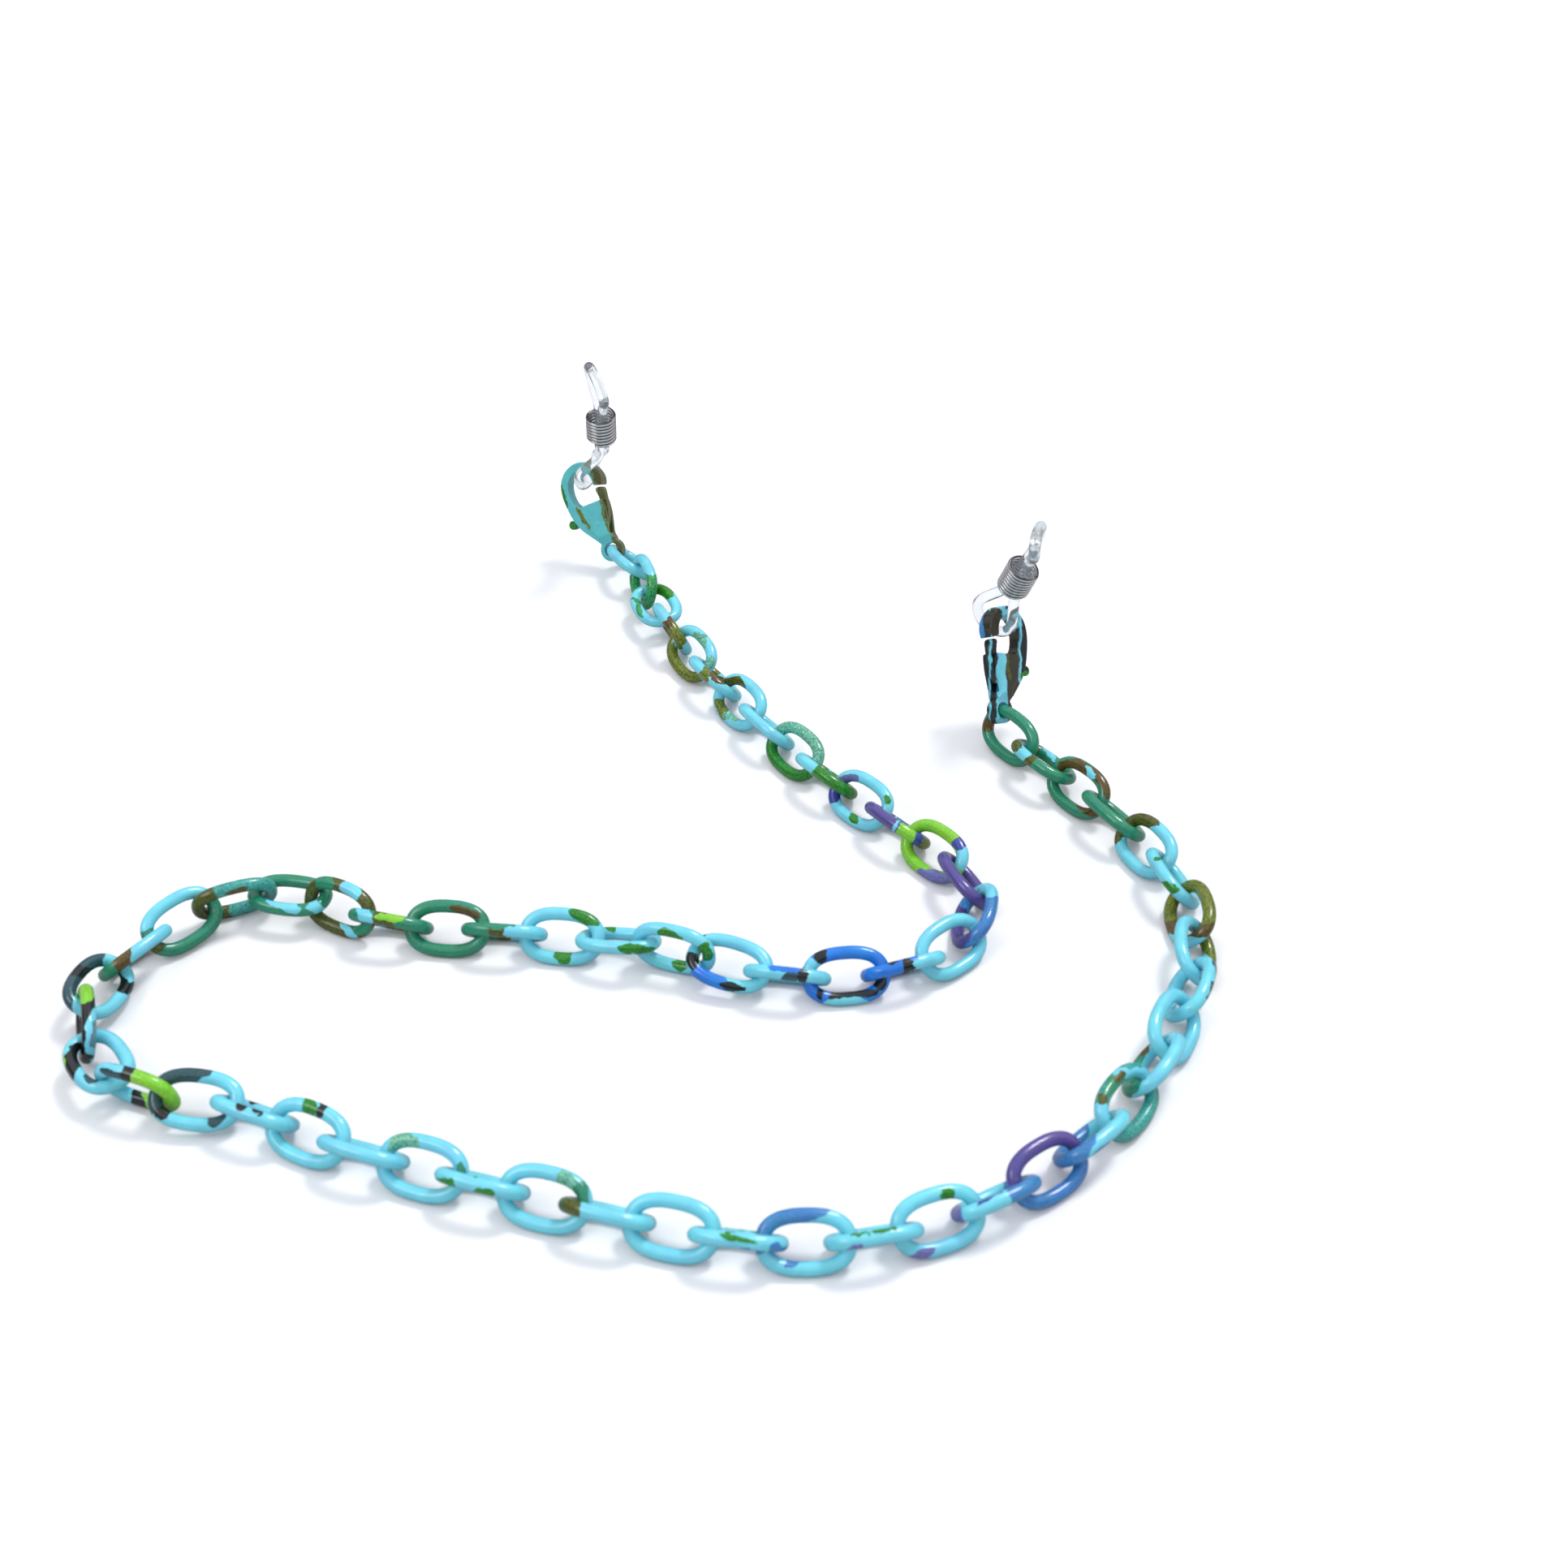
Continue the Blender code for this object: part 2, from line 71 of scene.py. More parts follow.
# Chain. A link's centre line is a rounded oval; the wire drawn is a hair thicker than the CAD's.
PITCH = 8.3
CAD_WIRE_R = 0.95
LINK_GAP = 0.32
HALF_LENGTH = (PITCH + 2 * CAD_WIRE_R + LINK_GAP) / 2
HALF_WIDTH = 3.2
SQUARENESS = 2.5
WIRE_R = 0.96
WIRE_SIDES = 20
RING_STEPS = 72
# Two links of one node are fused where they touch: each is drawn this far back, clear of the other
PAIR_SHIFT = 0.17
FRAME_ROUNDS = 8

# Clasp, in its own frame: x towards the gate, y through the thickness, z from eye to hook
BODY_THICK = 3.4
EYE_R = 2.1
EYE_HOLE_R = 1.3
# Half section, y and z, of what is cut away on each side to thin the eye
EYE_RELIEF = ((0.95, -4), (0.95, 1.5), (2, 3.4), (4, 3.4), (4, -4))
NECK_LEFT = (-1.45, 1.5)
NECK_RIGHT = (1.35, 1.6)
# The hook's faces lie this much below the cheeks', inside an outline in x and z
HOOK_SUNK = 0.3
HOOK_FACE = (
    (-8, 20), (4, 20), (4, 9.35), (-2.6, 9.3), (-3.1, 8.2), (-3.2, 7.0), (-2.9, 5.6), (-2.2, 4.2),
    (-1.3, 2.9), (-3, 2), (-8, 4),
)
HOOK_OUTSIDE = (
    (2.6, 11.65), (2.95, 13.3), (2.2, 15.3), (0.5, 16.75), (-1.4, 17.0), (-3.5, 16.2),
    (-5.0, 14.4), (-5.5, 12.0), (-5.3, 9.2), (-4.9, 7.2), (-4.1, 5.3), (-2.8, 3.5), (-1.75, 2.2),
)
GATE_SIDE = ((1.3, 2.0), (0.95, 3.0), (1.3, 4.6), (1.75, 6.5), (1.95, 8.4), (1.9, 9.2))
HOOK_INSIDE = (
    (-2.9, 9.2), (-3.75, 10.2), (-4.0, 12.0), (-3.6, 13.9), (-2.5, 15.1), (-1.1, 15.5),
    (0.2, 15.0), (0.95, 13.7), (1.0, 12.1),
)
SLOT_WIDE = 1.7
SLOT = ((4, 3), (-0.5, 3), (-2.5, 3.9), (-7, 3.9), (-7, 7.7), (-3.4, 7.7), (-3.4, 10), (4, 10))
PIVOT = (-0.6, 5.2)
LEVER_THICK = 1.45
LEVER_OUTSIDE = (
    (0.8, 4.4), (1.45, 5.6), (1.95, 7.2), (2.3, 9.3), (2.36, 11.26), (0.94, 11.45), (1.05, 9.6),
    (0.75, 8.1), (0.1, 7.35), (-1.5, 7.3), (-4.85, 7.2),
)
LEVER_INSIDE = ((-4.95, 6.3), (-2.4, 6.1), (-1.6, 5.2), (-1.0, 4.3), (0.0, 4.0))
KNOB_CENTRE = (-5.6, 6.75)
KNOB_R = 0.85
KNOB_ENDS = (40, 320)
LEAF = ((-0.7, 3.3), (-0.7, 3.5), (-2.4, 4.3), (-3.6, 4.3), (-3.6, 4.1), (-2.45, 4.1))
LEAF_WIDE = 1.0
LEAF_EDGE = 0.05
# Upper half of the rivet's outline: radius and height from the middle of the pin
RIVET = ((0.0, 1.74), (0.3, 1.72), (0.5, 1.68), (0.56, 1.6), (0.45, 1.5), (0.45, 0.0))
RIVET_SIDES = 24
BODY_EDGE = 0.55
SHARP = math.radians(50)
BODY_VOXEL = 0.11
LEVER_VOXEL = 0.09

# Silicone loop, from the clasp's hook at s = 0 up to the temple eye
CORD_R = 0.9
CORD_SIDES = 20
LOWER_EYE_R = 3.3
WAIST_HALF = 1.0
WAIST_START = 5.2
WAIST_END = 14.2
UPPER_EYE_R = 3.1
UPPER_EYE_S = 18.8
LOOP_TOP = 22.6
LOOP_STEPS = 4
# How far each loop's lower and upper ends bend forward, and its twist in degrees
BENDS = {"left": (3.2, -1.6, 48), "right": (-1.6, 4.0, -66)}

# Coil slider
COIL_WIRE_R = 0.3
COIL_R = 2.42
COIL_TURNS = 7.5
COIL_PITCH = 0.67
COIL_STEPS = 40
COIL_SIDES = 12
# How far the cut end of an open cord or wire bulges, as a share of its radius
END_BULGE = 0.45

# Camera, in metres, millimetres of lens and radians
CAMERA_PLACE = (0.0184, -0.2610, 0.1996)
LOOK_DOWN = math.radians(36.28)
LENS = 48.74
SENSOR = 36
NEAREST = 0.01
FOCUS = 0.375
F_STOP = 38
PICTURE_X = Vector((1, 0, 0))
PICTURE_Y = Vector((0, math.sin(LOOK_DOWN), math.cos(LOOK_DOWN)))

# Light. The tent has one brightness for what it lights and another where it is mirrored.
TENT_COLOUR = (0.93, 0.945, 1.0, 1)
WORLD_LEVEL = 0.90
MIRRORED_LEVEL = 0.75
MIRRORED_LEAST = 0.02
SUN_FROM = (0.35, 0.40, 0.85)
SUN_LEVEL = 1.30
SUN_SPREAD = math.radians(14)
FILL_PLACE = (-0.6, -0.3, 0.7)
FILL_SIZE = (0.5, 0.3)
FILL_POWER = 1.6
# The floor is darker to the rays by which it lights the chain than to the camera
FLOOR_HALF = 4
FLOOR_TINT = (0.985, 0.985, 1.0)
FLOOR_ALBEDO = 0.94
FLOOR_GRAIN = 0.02
FLOOR_BOUNCE = 0.40


# ---------------------------------------------------------------- shapes

def smooth_curve(points, steps):
    """Catmull-Rom curve through the points."""
    ends = [2 * points[0] - points[1], *points, 2 * points[-1] - points[-2]]
    curve = []
    for p0, p1, p2, p3 in zip(ends, ends[1:], ends[2:], ends[3:]):
        for step in range(steps):
            t = step / steps
            curve.append(0.5 * (2 * p1 + (p2 - p0) * t + (2 * p0 - 5 * p1 + 4 * p2 - p3) * t ** 2
                                + (3 * p1 - p0 - 3 * p2 + p3) * t ** 3))
    return curve + [points[-1]]


def outline(points, steps=1):
    """The points as vectors, with a smooth curve through them when steps is over 1."""
    run = [Vector(p) for p in points]
    return smooth_curve(run, steps) if steps > 1 else run


def arc(centre, radius, start, end, steps):
    turns = [start + (end - start) * i / steps for i in range(steps + 1)]
    return [Vector((centre[0] + radius * math.cos(a), centre[1] + radius * math.sin(a))) for a in turns]


def ease(t):
    """A smooth step from 0 to 1."""
    t = min(max(t, 0), 1)
    return t * t * (3 - 2 * t)


def mesh_from(work, name):
    """A smooth-shaded mesh of the work, which is freed."""
    bmesh.ops.recalc_face_normals(work, faces=work.faces)
    for face in work.faces:
        face.smooth = True
    mesh = bpy.data.meshes.new(name)
    work.to_mesh(mesh)
    work.free()
    return mesh


def prism(corners, thick):
    """A plate in the XZ plane, centred on y = 0."""
    work = bmesh.new()
    face = work.faces.new([work.verts.new((p[0], -thick / 2, p[1])) for p in corners])
    grown = bmesh.ops.extrude_face_region(work, geom=[face])
    moved = [item for item in grown["geom"] if isinstance(item, bmesh.types.BMVert)]
    bmesh.ops.translate(work, vec=(0, thick, 0), verts=moved)
    return mesh_from(work, "prism")


def rod(radius, length, centre, segments):
    """A rod along y, through a centre in x and z."""
    work = bmesh.new()
    turn = Matrix.Translation((centre[0], 0, centre[1])) @ Matrix.Rotation(math.pi / 2, 4, "X")
    bmesh.ops.create_cone(work, cap_ends=True, segments=segments, radius1=radius, radius2=radius,
                          depth=length, matrix=turn)
    return mesh_from(work, "rod")


def directions_along(points, closed):
    """A tangent and a slowly turning normal at each point, and the twist left over on coming round."""
    count = len(points)
    tangents = []
    for i in range(count):
        before = points[i - 1] if closed or i else points[i]
        after = points[(i + 1) % count] if closed or i < count - 1 else points[i]
        tangents.append((after - before).normalized())
    normals = [tangents[0].orthogonal().normalized()]
    for before, after in zip(tangents, tangents[1:]):
        normals.append((before.rotation_difference(after) @ normals[-1]).normalized())
    if not closed:
        return tangents, normals, 0.0
    last = tangents[-1].rotation_difference(tangents[0]) @ normals[-1]
    side = tangents[0].cross(normals[0])
    return tangents, normals, math.atan2(last.dot(side), last.dot(normals[0]))


def tube(points, radius, closed, sides, name):
    """A round cord along the points. The ends of an open one bulge slightly."""
    tangents, normals, twist = directions_along(points, closed)
    work = bmesh.new()
    rings = []
    for i, (point, tangent, normal) in enumerate(zip(points, tangents, normals)):
        side = tangent.cross(normal)
        ring = []
        for k in range(sides):
            angle = 2 * math.pi * k / sides - twist * i / len(points)
            ring.append(work.verts.new(point + radius * (math.cos(angle) * normal + math.sin(angle) * side)))
        rings.append(ring)
    pairs = list(zip(rings, rings[1:])) + ([(rings[-1], rings[0])] if closed else [])
    for one, two in pairs:
        for k in range(sides):
            work.faces.new((one[k], one[(k + 1) % sides], two[(k + 1) % sides], two[k]))
    if not closed:
        for end, outward in ((0, -tangents[0]), (-1, tangents[-1])):
            tip = work.verts.new(points[end] + outward * radius * END_BULGE)
            for k in range(sides):
                work.faces.new((rings[end][k], rings[end][(k + 1) % sides], tip))
    return mesh_from(work, name)


def place_object(name, data):
    """An object of the data, in the scene."""
    item = bpy.data.objects.new(name, data)
    bpy.context.scene.collection.objects.link(item)
    return item


def add_piece(name, mesh, matrix, body, nodes, material):
    """A piece whose mesh is in millimetres, placed by a matrix in metres, standing for CAD nodes."""
    mesh.transform(Matrix.Scale(MM, 4))
    mesh.name = name
    piece = place_object(name, mesh)
    piece.matrix_world = matrix
    mesh.materials.append(material)
    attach(piece, body)
    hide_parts(*nodes)


def take_mesh(piece):
    """The piece's mesh with its modifiers baked in and smoothed; the piece itself is removed."""
    bpy.context.view_layer.update()
    evaluated = piece.evaluated_get(bpy.context.evaluated_depsgraph_get())
    mesh = bpy.data.meshes.new_from_object(evaluated)
    bpy.data.objects.remove(piece)
    for polygon in mesh.polygons:
        polygon.use_smooth = True
    return mesh


def add_bevel(piece, width, segments):
    bevel = piece.modifiers.new("bevel", "BEVEL")
    bevel.width = width
    bevel.segments = segments
    return bevel


def soften(piece, voxel, rounds):
    """Remeshes a piece in small even faces and rounds its edges."""
    remesh = piece.modifiers.new("remesh", "REMESH")
    remesh.mode = "VOXEL"
    remesh.voxel_size = voxel
    smooth = piece.modifiers.new("smooth", "SMOOTH")
    smooth.iterations = rounds


# ---------------------------------------------------------------- where the links are

def node_points(name):
    """A node's corners in millimetres, each once."""
    mesh = frame["nodes"][name].data
    co = np.zeros(len(mesh.vertices) * 3)
    mesh.vertices.foreach_get("co", co)
    return np.unique(np.round(co.reshape(-1, 3) / MM, 4), axis=0)


def far_half(points, u):
    """The points of the link's half that reaches furthest along u, and how far it reaches."""
    reach = points @ u
    return points[reach > reach.max() - HALF_LENGTH], reach.max()


def far_half_frame(points, away):
    """Centre, u and w of the link whose free half reaches along away, in millimetres."""
    u = away / np.linalg.norm(away)
    for _ in range(FRAME_ROUNDS):
        half, _ = far_half(points, u)
        _, axes = np.linalg.eigh(np.cov((half - half.mean(0)).T))
        normal = axes[:, 0]
        nearest = max((axes[:, 1], axes[:, 2]), key=lambda axis: abs(axis @ u))
        u = nearest * np.sign(nearest @ u)
    w = np.cross(normal, u)
    half, reach = far_half(points, u)
    across, through = half @ w, half @ normal
    centre = (u * (reach - HALF_LENGTH - CAD_WIRE_R) + w * (across.max() + across.min()) / 2
              + normal * (through.max() + through.min()) / 2)
    return centre, u, w


def link_numbers(name):
    """The numbers of the links in a node: one, two, or none if it is hardware."""
    return [int(word) for word in name.split("_")[1:]] if name.startswith("link") else []


def part_pair(one, two):
    """Moves two links of one node a set distance towards each other, so that their wires clear."""
    along = (two[0] - one[0]) / np.linalg.norm(two[0] - one[0])
    one[0] = one[0] + along * PAIR_SHIFT
    two[0] = two[0] - along * PAIR_SHIFT


def find_links():
    """Every link's node, centre, u (towards the next link) and w, in millimetres."""
    nodes = {number: name for name in frame["nodes"] for number in link_numbers(name)}
    points = {number: node_points(name) for number, name in nodes.items()}
    middle = {number: (p.max(0) + p.min(0)) / 2 for number, p in points.items()}
    found = {}
    for number, name in nodes.items():
        numbers = link_numbers(name)
        here = middle[number]
        if len(numbers) == 1:
            onward = middle.get(number + 1, here) - middle.get(number - 1, here)
            _, axes = np.linalg.eigh(np.cov((points[number] - points[number].mean(0)).T))
            u = axes[:, 2] * np.sign(axes[:, 2] @ onward)
            found[number] = [here, u, axes[:, 1]]
        else:
            way = -1 if number == numbers[0] else 1
            centre, outward, w = far_half_frame(points[number], middle[number + way] - here)
            found[number] = [centre, way * outward, w]
    for name in frame["nodes"]:
        numbers = link_numbers(name)
        if len(numbers) == 2:
            part_pair(found[numbers[0]], found[numbers[1]])
    return {number: (nodes[number], *found[number]) for number in sorted(found)}


def link_matrix(centre, u, w):
    u, w = Vector(u), Vector(w)
    turn = Matrix((u, w, u.cross(w))).transposed().to_4x4()
    return Matrix.Translation(Vector(centre) * MM) @ turn


# ---------------------------------------------------------------- materials

COLOURS = {
    "sky": (0.17, 0.66, 0.80), "pale": (0.20, 0.62, 0.42), "snake": (0.04, 0.42, 0.12),
    "green": (0.018, 0.29, 0.012), "teal": (0.02, 0.28, 0.155), "aqua": (0.06, 0.44, 0.38),
    "olive": (0.11, 0.12, 0.006), "moss": (0.21, 0.25, 0.010), "brown": (0.13, 0.075, 0.008),
    "lime": (0.24, 0.66, 0.03), "purple": (0.10, 0.07, 0.30), "indigo": (0.04, 0.06, 0.33),
    "blue": (0.05, 0.24, 0.58), "royal": (0.006, 0.20, 0.70), "black": (0.004, 0.008, 0.010),
    "slate": (0.025, 0.085, 0.105), "grey": (0.14, 0.30, 0.34), "violet": (0.18, 0.18, 0.50),
    "turquoise": (0.09, 0.52, 0.55), "umber": (0.034, 0.030, 0.014),
}
# Zones whose print carries the fine scale texture, and how strongly
TEXTURED = {
    "green": 0.85, "snake": 1.0, "pale": 1.0, "moss": 1.0, "olive": 0.9, "brown": 0.7, "teal": 0.35,
    "lime": 0.35, "aqua": 0.8, "slate": 0.4, "grey": 0.6, "violet": 0.4, "purple": 0.25, "blue": 0.4,
}
# Noises, each with its cycles per millimetre, detail and roughness
NOISES = {
    "scale_wander": (0.9, 2, 0.6), "grit": (2.6, 4, 0.7), "hue_drift": (0.22, 2, 0.5),
    "tone": (0.5, 3, 0.5), "chips": (1.5, 4, 0.7), "orange_peel": (1.1, 2, 0.4),
    "pimples": (5.0, 3, 0.5), "enamel_polish": (0.8, 3, 0.5), "print_slow": (0.28, 2, 0.5),
    "print_quick": (1.3, 2, 0.5), "ripple": (0.5, 2, 0.5), "cord_polish": (1.6, 3, 0.5),
    "cord_clouds": (0.7, 3, 0.5), "drawn": (2.2, 3, 0.5), "stain": (0.6, 4, 0.7),
    "floor_grain": (0.12, 3, 0.5),
}
# Printed scales: cells per millimetre, how far they wander, and how dark their cracks and grit are
SCALES = 1.9
SCALE_WANDER = 1.4
CRACK_SHADE = 0.95
GRIT_SHADE = 0.75
INK_SHADE = (0.16, 0.30, 0.30)
# Relief of the enamel in millimetres
PEEL_HEIGHT = 0.05
PIMPLE_HEIGHT = 0.006
INK_HEIGHT = 0.012
LINK_GLOSS = 0.16
CAST_GLOSS = 0.3
WORN_METAL = (0.36, 0.37, 0.38)
# How far a print's edges waver, in millimetres, and how soft they are on links and on castings
SLOW_WAVER = 2.6
QUICK_WAVER = 0.55
CAST_WAVER = 0.7
LINK_SOFT = 0.05
CAST_SOFT = 0.12
# A band whose far edge is at or past this has no far edge
NO_EDGE = 9
CLEAR_TINT = (0.98, 0.99, 0.99)
# Grey of the silicone's cloudiness and of the painted shade on its edges seen edge on
CLOUD_AND_EDGE_SHADE_TINT = (0.50, 0.58, 0.63)
COIL_COLOUR = (0.95, 0.95, 0.96)
# Painted shade for the grooves between the coil's turns
GROOVE_SHADE_COLOUR = (0.05, 0.045, 0.05)
LEAF_COLOUR = (0.5, 0.5, 0.5)
STAINED = 0.72


def fill_socket(tree, socket, value):
    """Links a socket to another, or sets it to a value."""
    if isinstance(value, bpy.types.NodeSocket):
        tree.links.new(value, socket)
    else:
        socket.default_value = value


def node(tree, kind, inputs=(), **settings):
    made = tree.nodes.new(kind)
    for key, value in settings.items():
        setattr(made, key, value)
    for key, value in dict(inputs).items():
        fill_socket(tree, made.inputs[key], value)
    return made


def maths(tree, operation, a, b=0.0, c=0.0):
    return node(tree, "ShaderNodeMath", {0: a, 1: b, 2: c}, operation=operation).outputs[0]


def product(tree, a, b):
    return maths(tree, "MULTIPLY", a, b)


def less(tree, value):
    """One less a value."""
    return maths(tree, "SUBTRACT", 1.0, value)


def vector(tree, operation, a, b=(0, 0, 0)):
    return node(tree, "ShaderNodeVectorMath", {0: a, 1: b}, operation=operation).outputs[0]


def measure(tree, operation, a, b=(0, 0, 0)):
    """A dot product or a length."""
    return node(tree, "ShaderNodeVectorMath", {0: a, 1: b}, operation=operation).outputs[1]


def separate(tree, place):
    return node(tree, "ShaderNodeSeparateXYZ", {0: place}).outputs


def combine(tree, x, y, z=0.0):
    return node(tree, "ShaderNodeCombineXYZ", {0: x, 1: y, 2: z}).outputs[0]


def mix(tree, factor, a, b):
    """A colour between a and b."""
    made = node(tree, "ShaderNodeMix", data_type="RGBA")
    for index, value in ((0, factor), (6, a), (7, b)):
        fill_socket(tree, made.inputs[index], (*value, 1) if isinstance(value, tuple) else value)
    return made.outputs[2]


def noise(tree, where, kind, output="Fac"):
    scale, detail, rough = NOISES[kind]
    inputs = {"Vector": where, "Scale": scale, "Detail": detail, "Roughness": rough}
    return node(tree, "ShaderNodeTexNoise", inputs).outputs[output]


def step_up(tree, value, edge, soft):
    """0 below an edge and 1 above it, with a ramp soft to each side."""
    inputs = {"Value": value, "From Min": edge - soft, "From Max": edge + soft}
    return node(tree, "ShaderNodeMapRange", inputs).outputs["Result"]


def step_down(tree, value, edge, soft):
    return less(tree, step_up(tree, value, edge, soft))


def bumped(tree, height, strength):
    """A bump normal from a height in millimetres."""
    inputs = {"Height": height, "Strength": strength, "Distance": MM}
    return node(tree, "ShaderNodeBump", inputs).outputs[0]


def new_material(name):
    material = bpy.data.materials.new(name)
    material.use_nodes = True
    tree = material.node_tree
    tree.nodes.clear()
    return material, tree


def show_surface(tree, **inputs):
    """Gives the material a Principled surface. Input names have underscores for spaces."""
    named = {key.replace("_", " "): value for key, value in inputs.items()}
    shader = node(tree, "ShaderNodeBsdfPrincipled", named)
    node(tree, "ShaderNodeOutputMaterial", {"Surface": shader.outputs[0]})


def local_mm(tree, seed):
    """Object coordinates in millimetres, and the same shifted by a seed, so that no two pieces match."""
    there = node(tree, "ShaderNodeTexCoord").outputs["Object"]
    scaled = vector(tree, "MULTIPLY", there, (1 / MM,) * 3)
    shift = (seed * 13.7 % 97, seed * 7.3 % 89, seed * 3.9 % 83)
    return scaled, vector(tree, "ADD", scaled, shift)


def scale_texture(tree, place, strength):
    """How dark the printed scales are: the cracks between wandering cells, and fine grit."""
    wander = vector(tree, "MULTIPLY", noise(tree, place, "scale_wander", "Color"), (SCALE_WANDER,) * 3)
    inputs = {"Vector": vector(tree, "ADD", place, wander), "Scale": SCALES}
    cells = node(tree, "ShaderNodeTexVoronoi", inputs, feature="DISTANCE_TO_EDGE").outputs["Distance"]
    cracks = step_down(tree, cells, 0.075, 0.05)
    grit = step_up(tree, noise(tree, place, "grit"), 0.56, 0.08)
    darker = maths(tree, "MAXIMUM", product(tree, cracks, CRACK_SHADE), product(tree, grit, GRIT_SHADE))
    return product(tree, darker, strength)


def enamel_shader(tree, colour, texture, place, gloss, wear_at=None):
    """Glossy printed enamel: scale texture, slow tone drift, orange peel and worn specks."""
    dark = scale_texture(tree, place, texture)
    printed = mix(tree, dark, colour, vector(tree, "MULTIPLY", colour, INK_SHADE))
    tone = node(tree, "ShaderNodeHueSaturation", {
        "Color": printed, "Hue": maths(tree, "MULTIPLY_ADD", noise(tree, place, "hue_drift"), 0.05, 0.475),
        "Value": maths(tree, "MULTIPLY_ADD", noise(tree, place, "tone"), 0.36, 0.82)}).outputs["Color"]
    bare = 0.0
    if wear_at is not None:
        bare = product(tree, step_up(tree, noise(tree, place, "chips"), 0.58, 0.01), wear_at)
        tone = mix(tree, bare, tone, WORN_METAL)
    peel = product(tree, noise(tree, place, "orange_peel"), PEEL_HEIGHT)
    pimples = product(tree, noise(tree, place, "pimples"), PIMPLE_HEIGHT)
    height = maths(tree, "ADD", peel, maths(tree, "ADD", pimples, product(tree, dark, INK_HEIGHT)))
    rough = maths(tree, "MULTIPLY_ADD", noise(tree, place, "enamel_polish"), 0.14, gloss)
    show_surface(tree, Base_Color=tone, Roughness=rough, Metallic=bare, Normal=bumped(tree, height, 0.55),
                 IOR=1.5, Coat_Weight=0.5, Coat_Roughness=0.05)


def band_mask(tree, x, y, soft, angle, low, high):
    """1 inside a band that starts at low and ends at high, measured along an angle."""
    turn = math.radians(angle)
    along = maths(tree, "ADD", product(tree, x, math.cos(turn)), product(tree, y, math.sin(turn)))
    mask = step_up(tree, along, low, soft)
    return product(tree, mask, step_down(tree, along, high, soft)) if high < NO_EDGE else mask


def blot_mask(tree, x, y, soft, cx, cy, rx, ry, angle):
    """1 inside an ellipse."""
    turn = math.radians(angle)
    offset = combine(tree, maths(tree, "SUBTRACT", x, cx), maths(tree, "SUBTRACT", y, cy))
    along = measure(tree, "DOT_PRODUCT", offset, (math.cos(turn) / rx, math.sin(turn) / rx, 0))
    across = measure(tree, "DOT_PRODUCT", offset, (-math.sin(turn) / ry, math.cos(turn) / ry, 0))
    away = measure(tree, "LENGTH", combine(tree, along, across))
    return step_down(tree, away, 1.0, soft / max(rx, ry))


def wavered(tree, place, x, y, waver):
    """x and y with a wavering shift."""
    shift = []
    for kind, amount in (("print_slow", SLOW_WAVER * waver), ("print_quick", QUICK_WAVER * waver)):
        centred = vector(tree, "SUBTRACT", noise(tree, place, kind, "Color"), (0.5,) * 3)
        shift.append(vector(tree, "MULTIPLY", centred, (amount,) * 3))
    split = separate(tree, vector(tree, "ADD", *shift))
    return maths(tree, "ADD", x, split[0]), maths(tree, "ADD", y, split[1])


def print_layers(tree, place, x, y, base, layers, waver, soft):
    """Colour and texture strength of a print: bands and blots laid over a base, edges wavering."""
    x, y = wavered(tree, place, x, y, waver)
    colour = node(tree, "ShaderNodeRGB").outputs[0]
    colour.default_value = (*COLOURS[base], 1)
    texture = TEXTURED.get(base, 0.0)
    for name, *numbers in layers:
        make_mask = band_mask if len(numbers) == 3 else blot_mask
        mask = make_mask(tree, x, y, soft, *numbers)
        colour = mix(tree, mask, colour, COLOURS[name])
        under = product(tree, texture, less(tree, mask))
        texture = maths(tree, "ADD", under, product(tree, mask, TEXTURED.get(name, 0.0)))
    return colour, texture


def picture_axes(tree, scaled, matrix):
    """A piece's position as it is seen from the camera, in millimetres right and up."""
    back = matrix.to_3x3().inverted()
    return [measure(tree, "DOT_PRODUCT", scaled, tuple(back @ axis)) for axis in (PICTURE_X, PICTURE_Y)]


def worn_zone(tree, scaled):
    """1 inside the link's two bows, where the neighbours' wires rub."""
    split = separate(tree, scaled)
    inner = maths(tree, "SUBTRACT", HALF_LENGTH, maths(tree, "ABSOLUTE", split[0]))
    by_bow = product(tree, step_up(tree, inner, 0.2, 0.25), step_down(tree, inner, 1.1, 0.2))
    return product(tree, by_bow, step_down(tree, maths(tree, "ABSOLUTE", split[1]), 1.2, 0.3))


def link_material(number, matrix, base, layers):
    material, tree = new_material(f"enamel_{number:02d}")
    scaled, place = local_mm(tree, number)
    x, y = picture_axes(tree, scaled, matrix)
    colour, texture = print_layers(tree, place, x, y, base, layers, 1.0, LINK_SOFT)
    enamel_shader(tree, colour, texture, place, LINK_GLOSS, worn_zone(tree, scaled))
    return material


def cast_material(name, seed, matrix, base, layers):
    material, tree = new_material(name)
    scaled, place = local_mm(tree, seed)
    x, y = picture_axes(tree, scaled, matrix)
    colour, texture = print_layers(tree, place, x, y, base, layers, CAST_WAVER, CAST_SOFT)
    enamel_shader(tree, colour, texture, place, CAST_GLOSS)
    return material


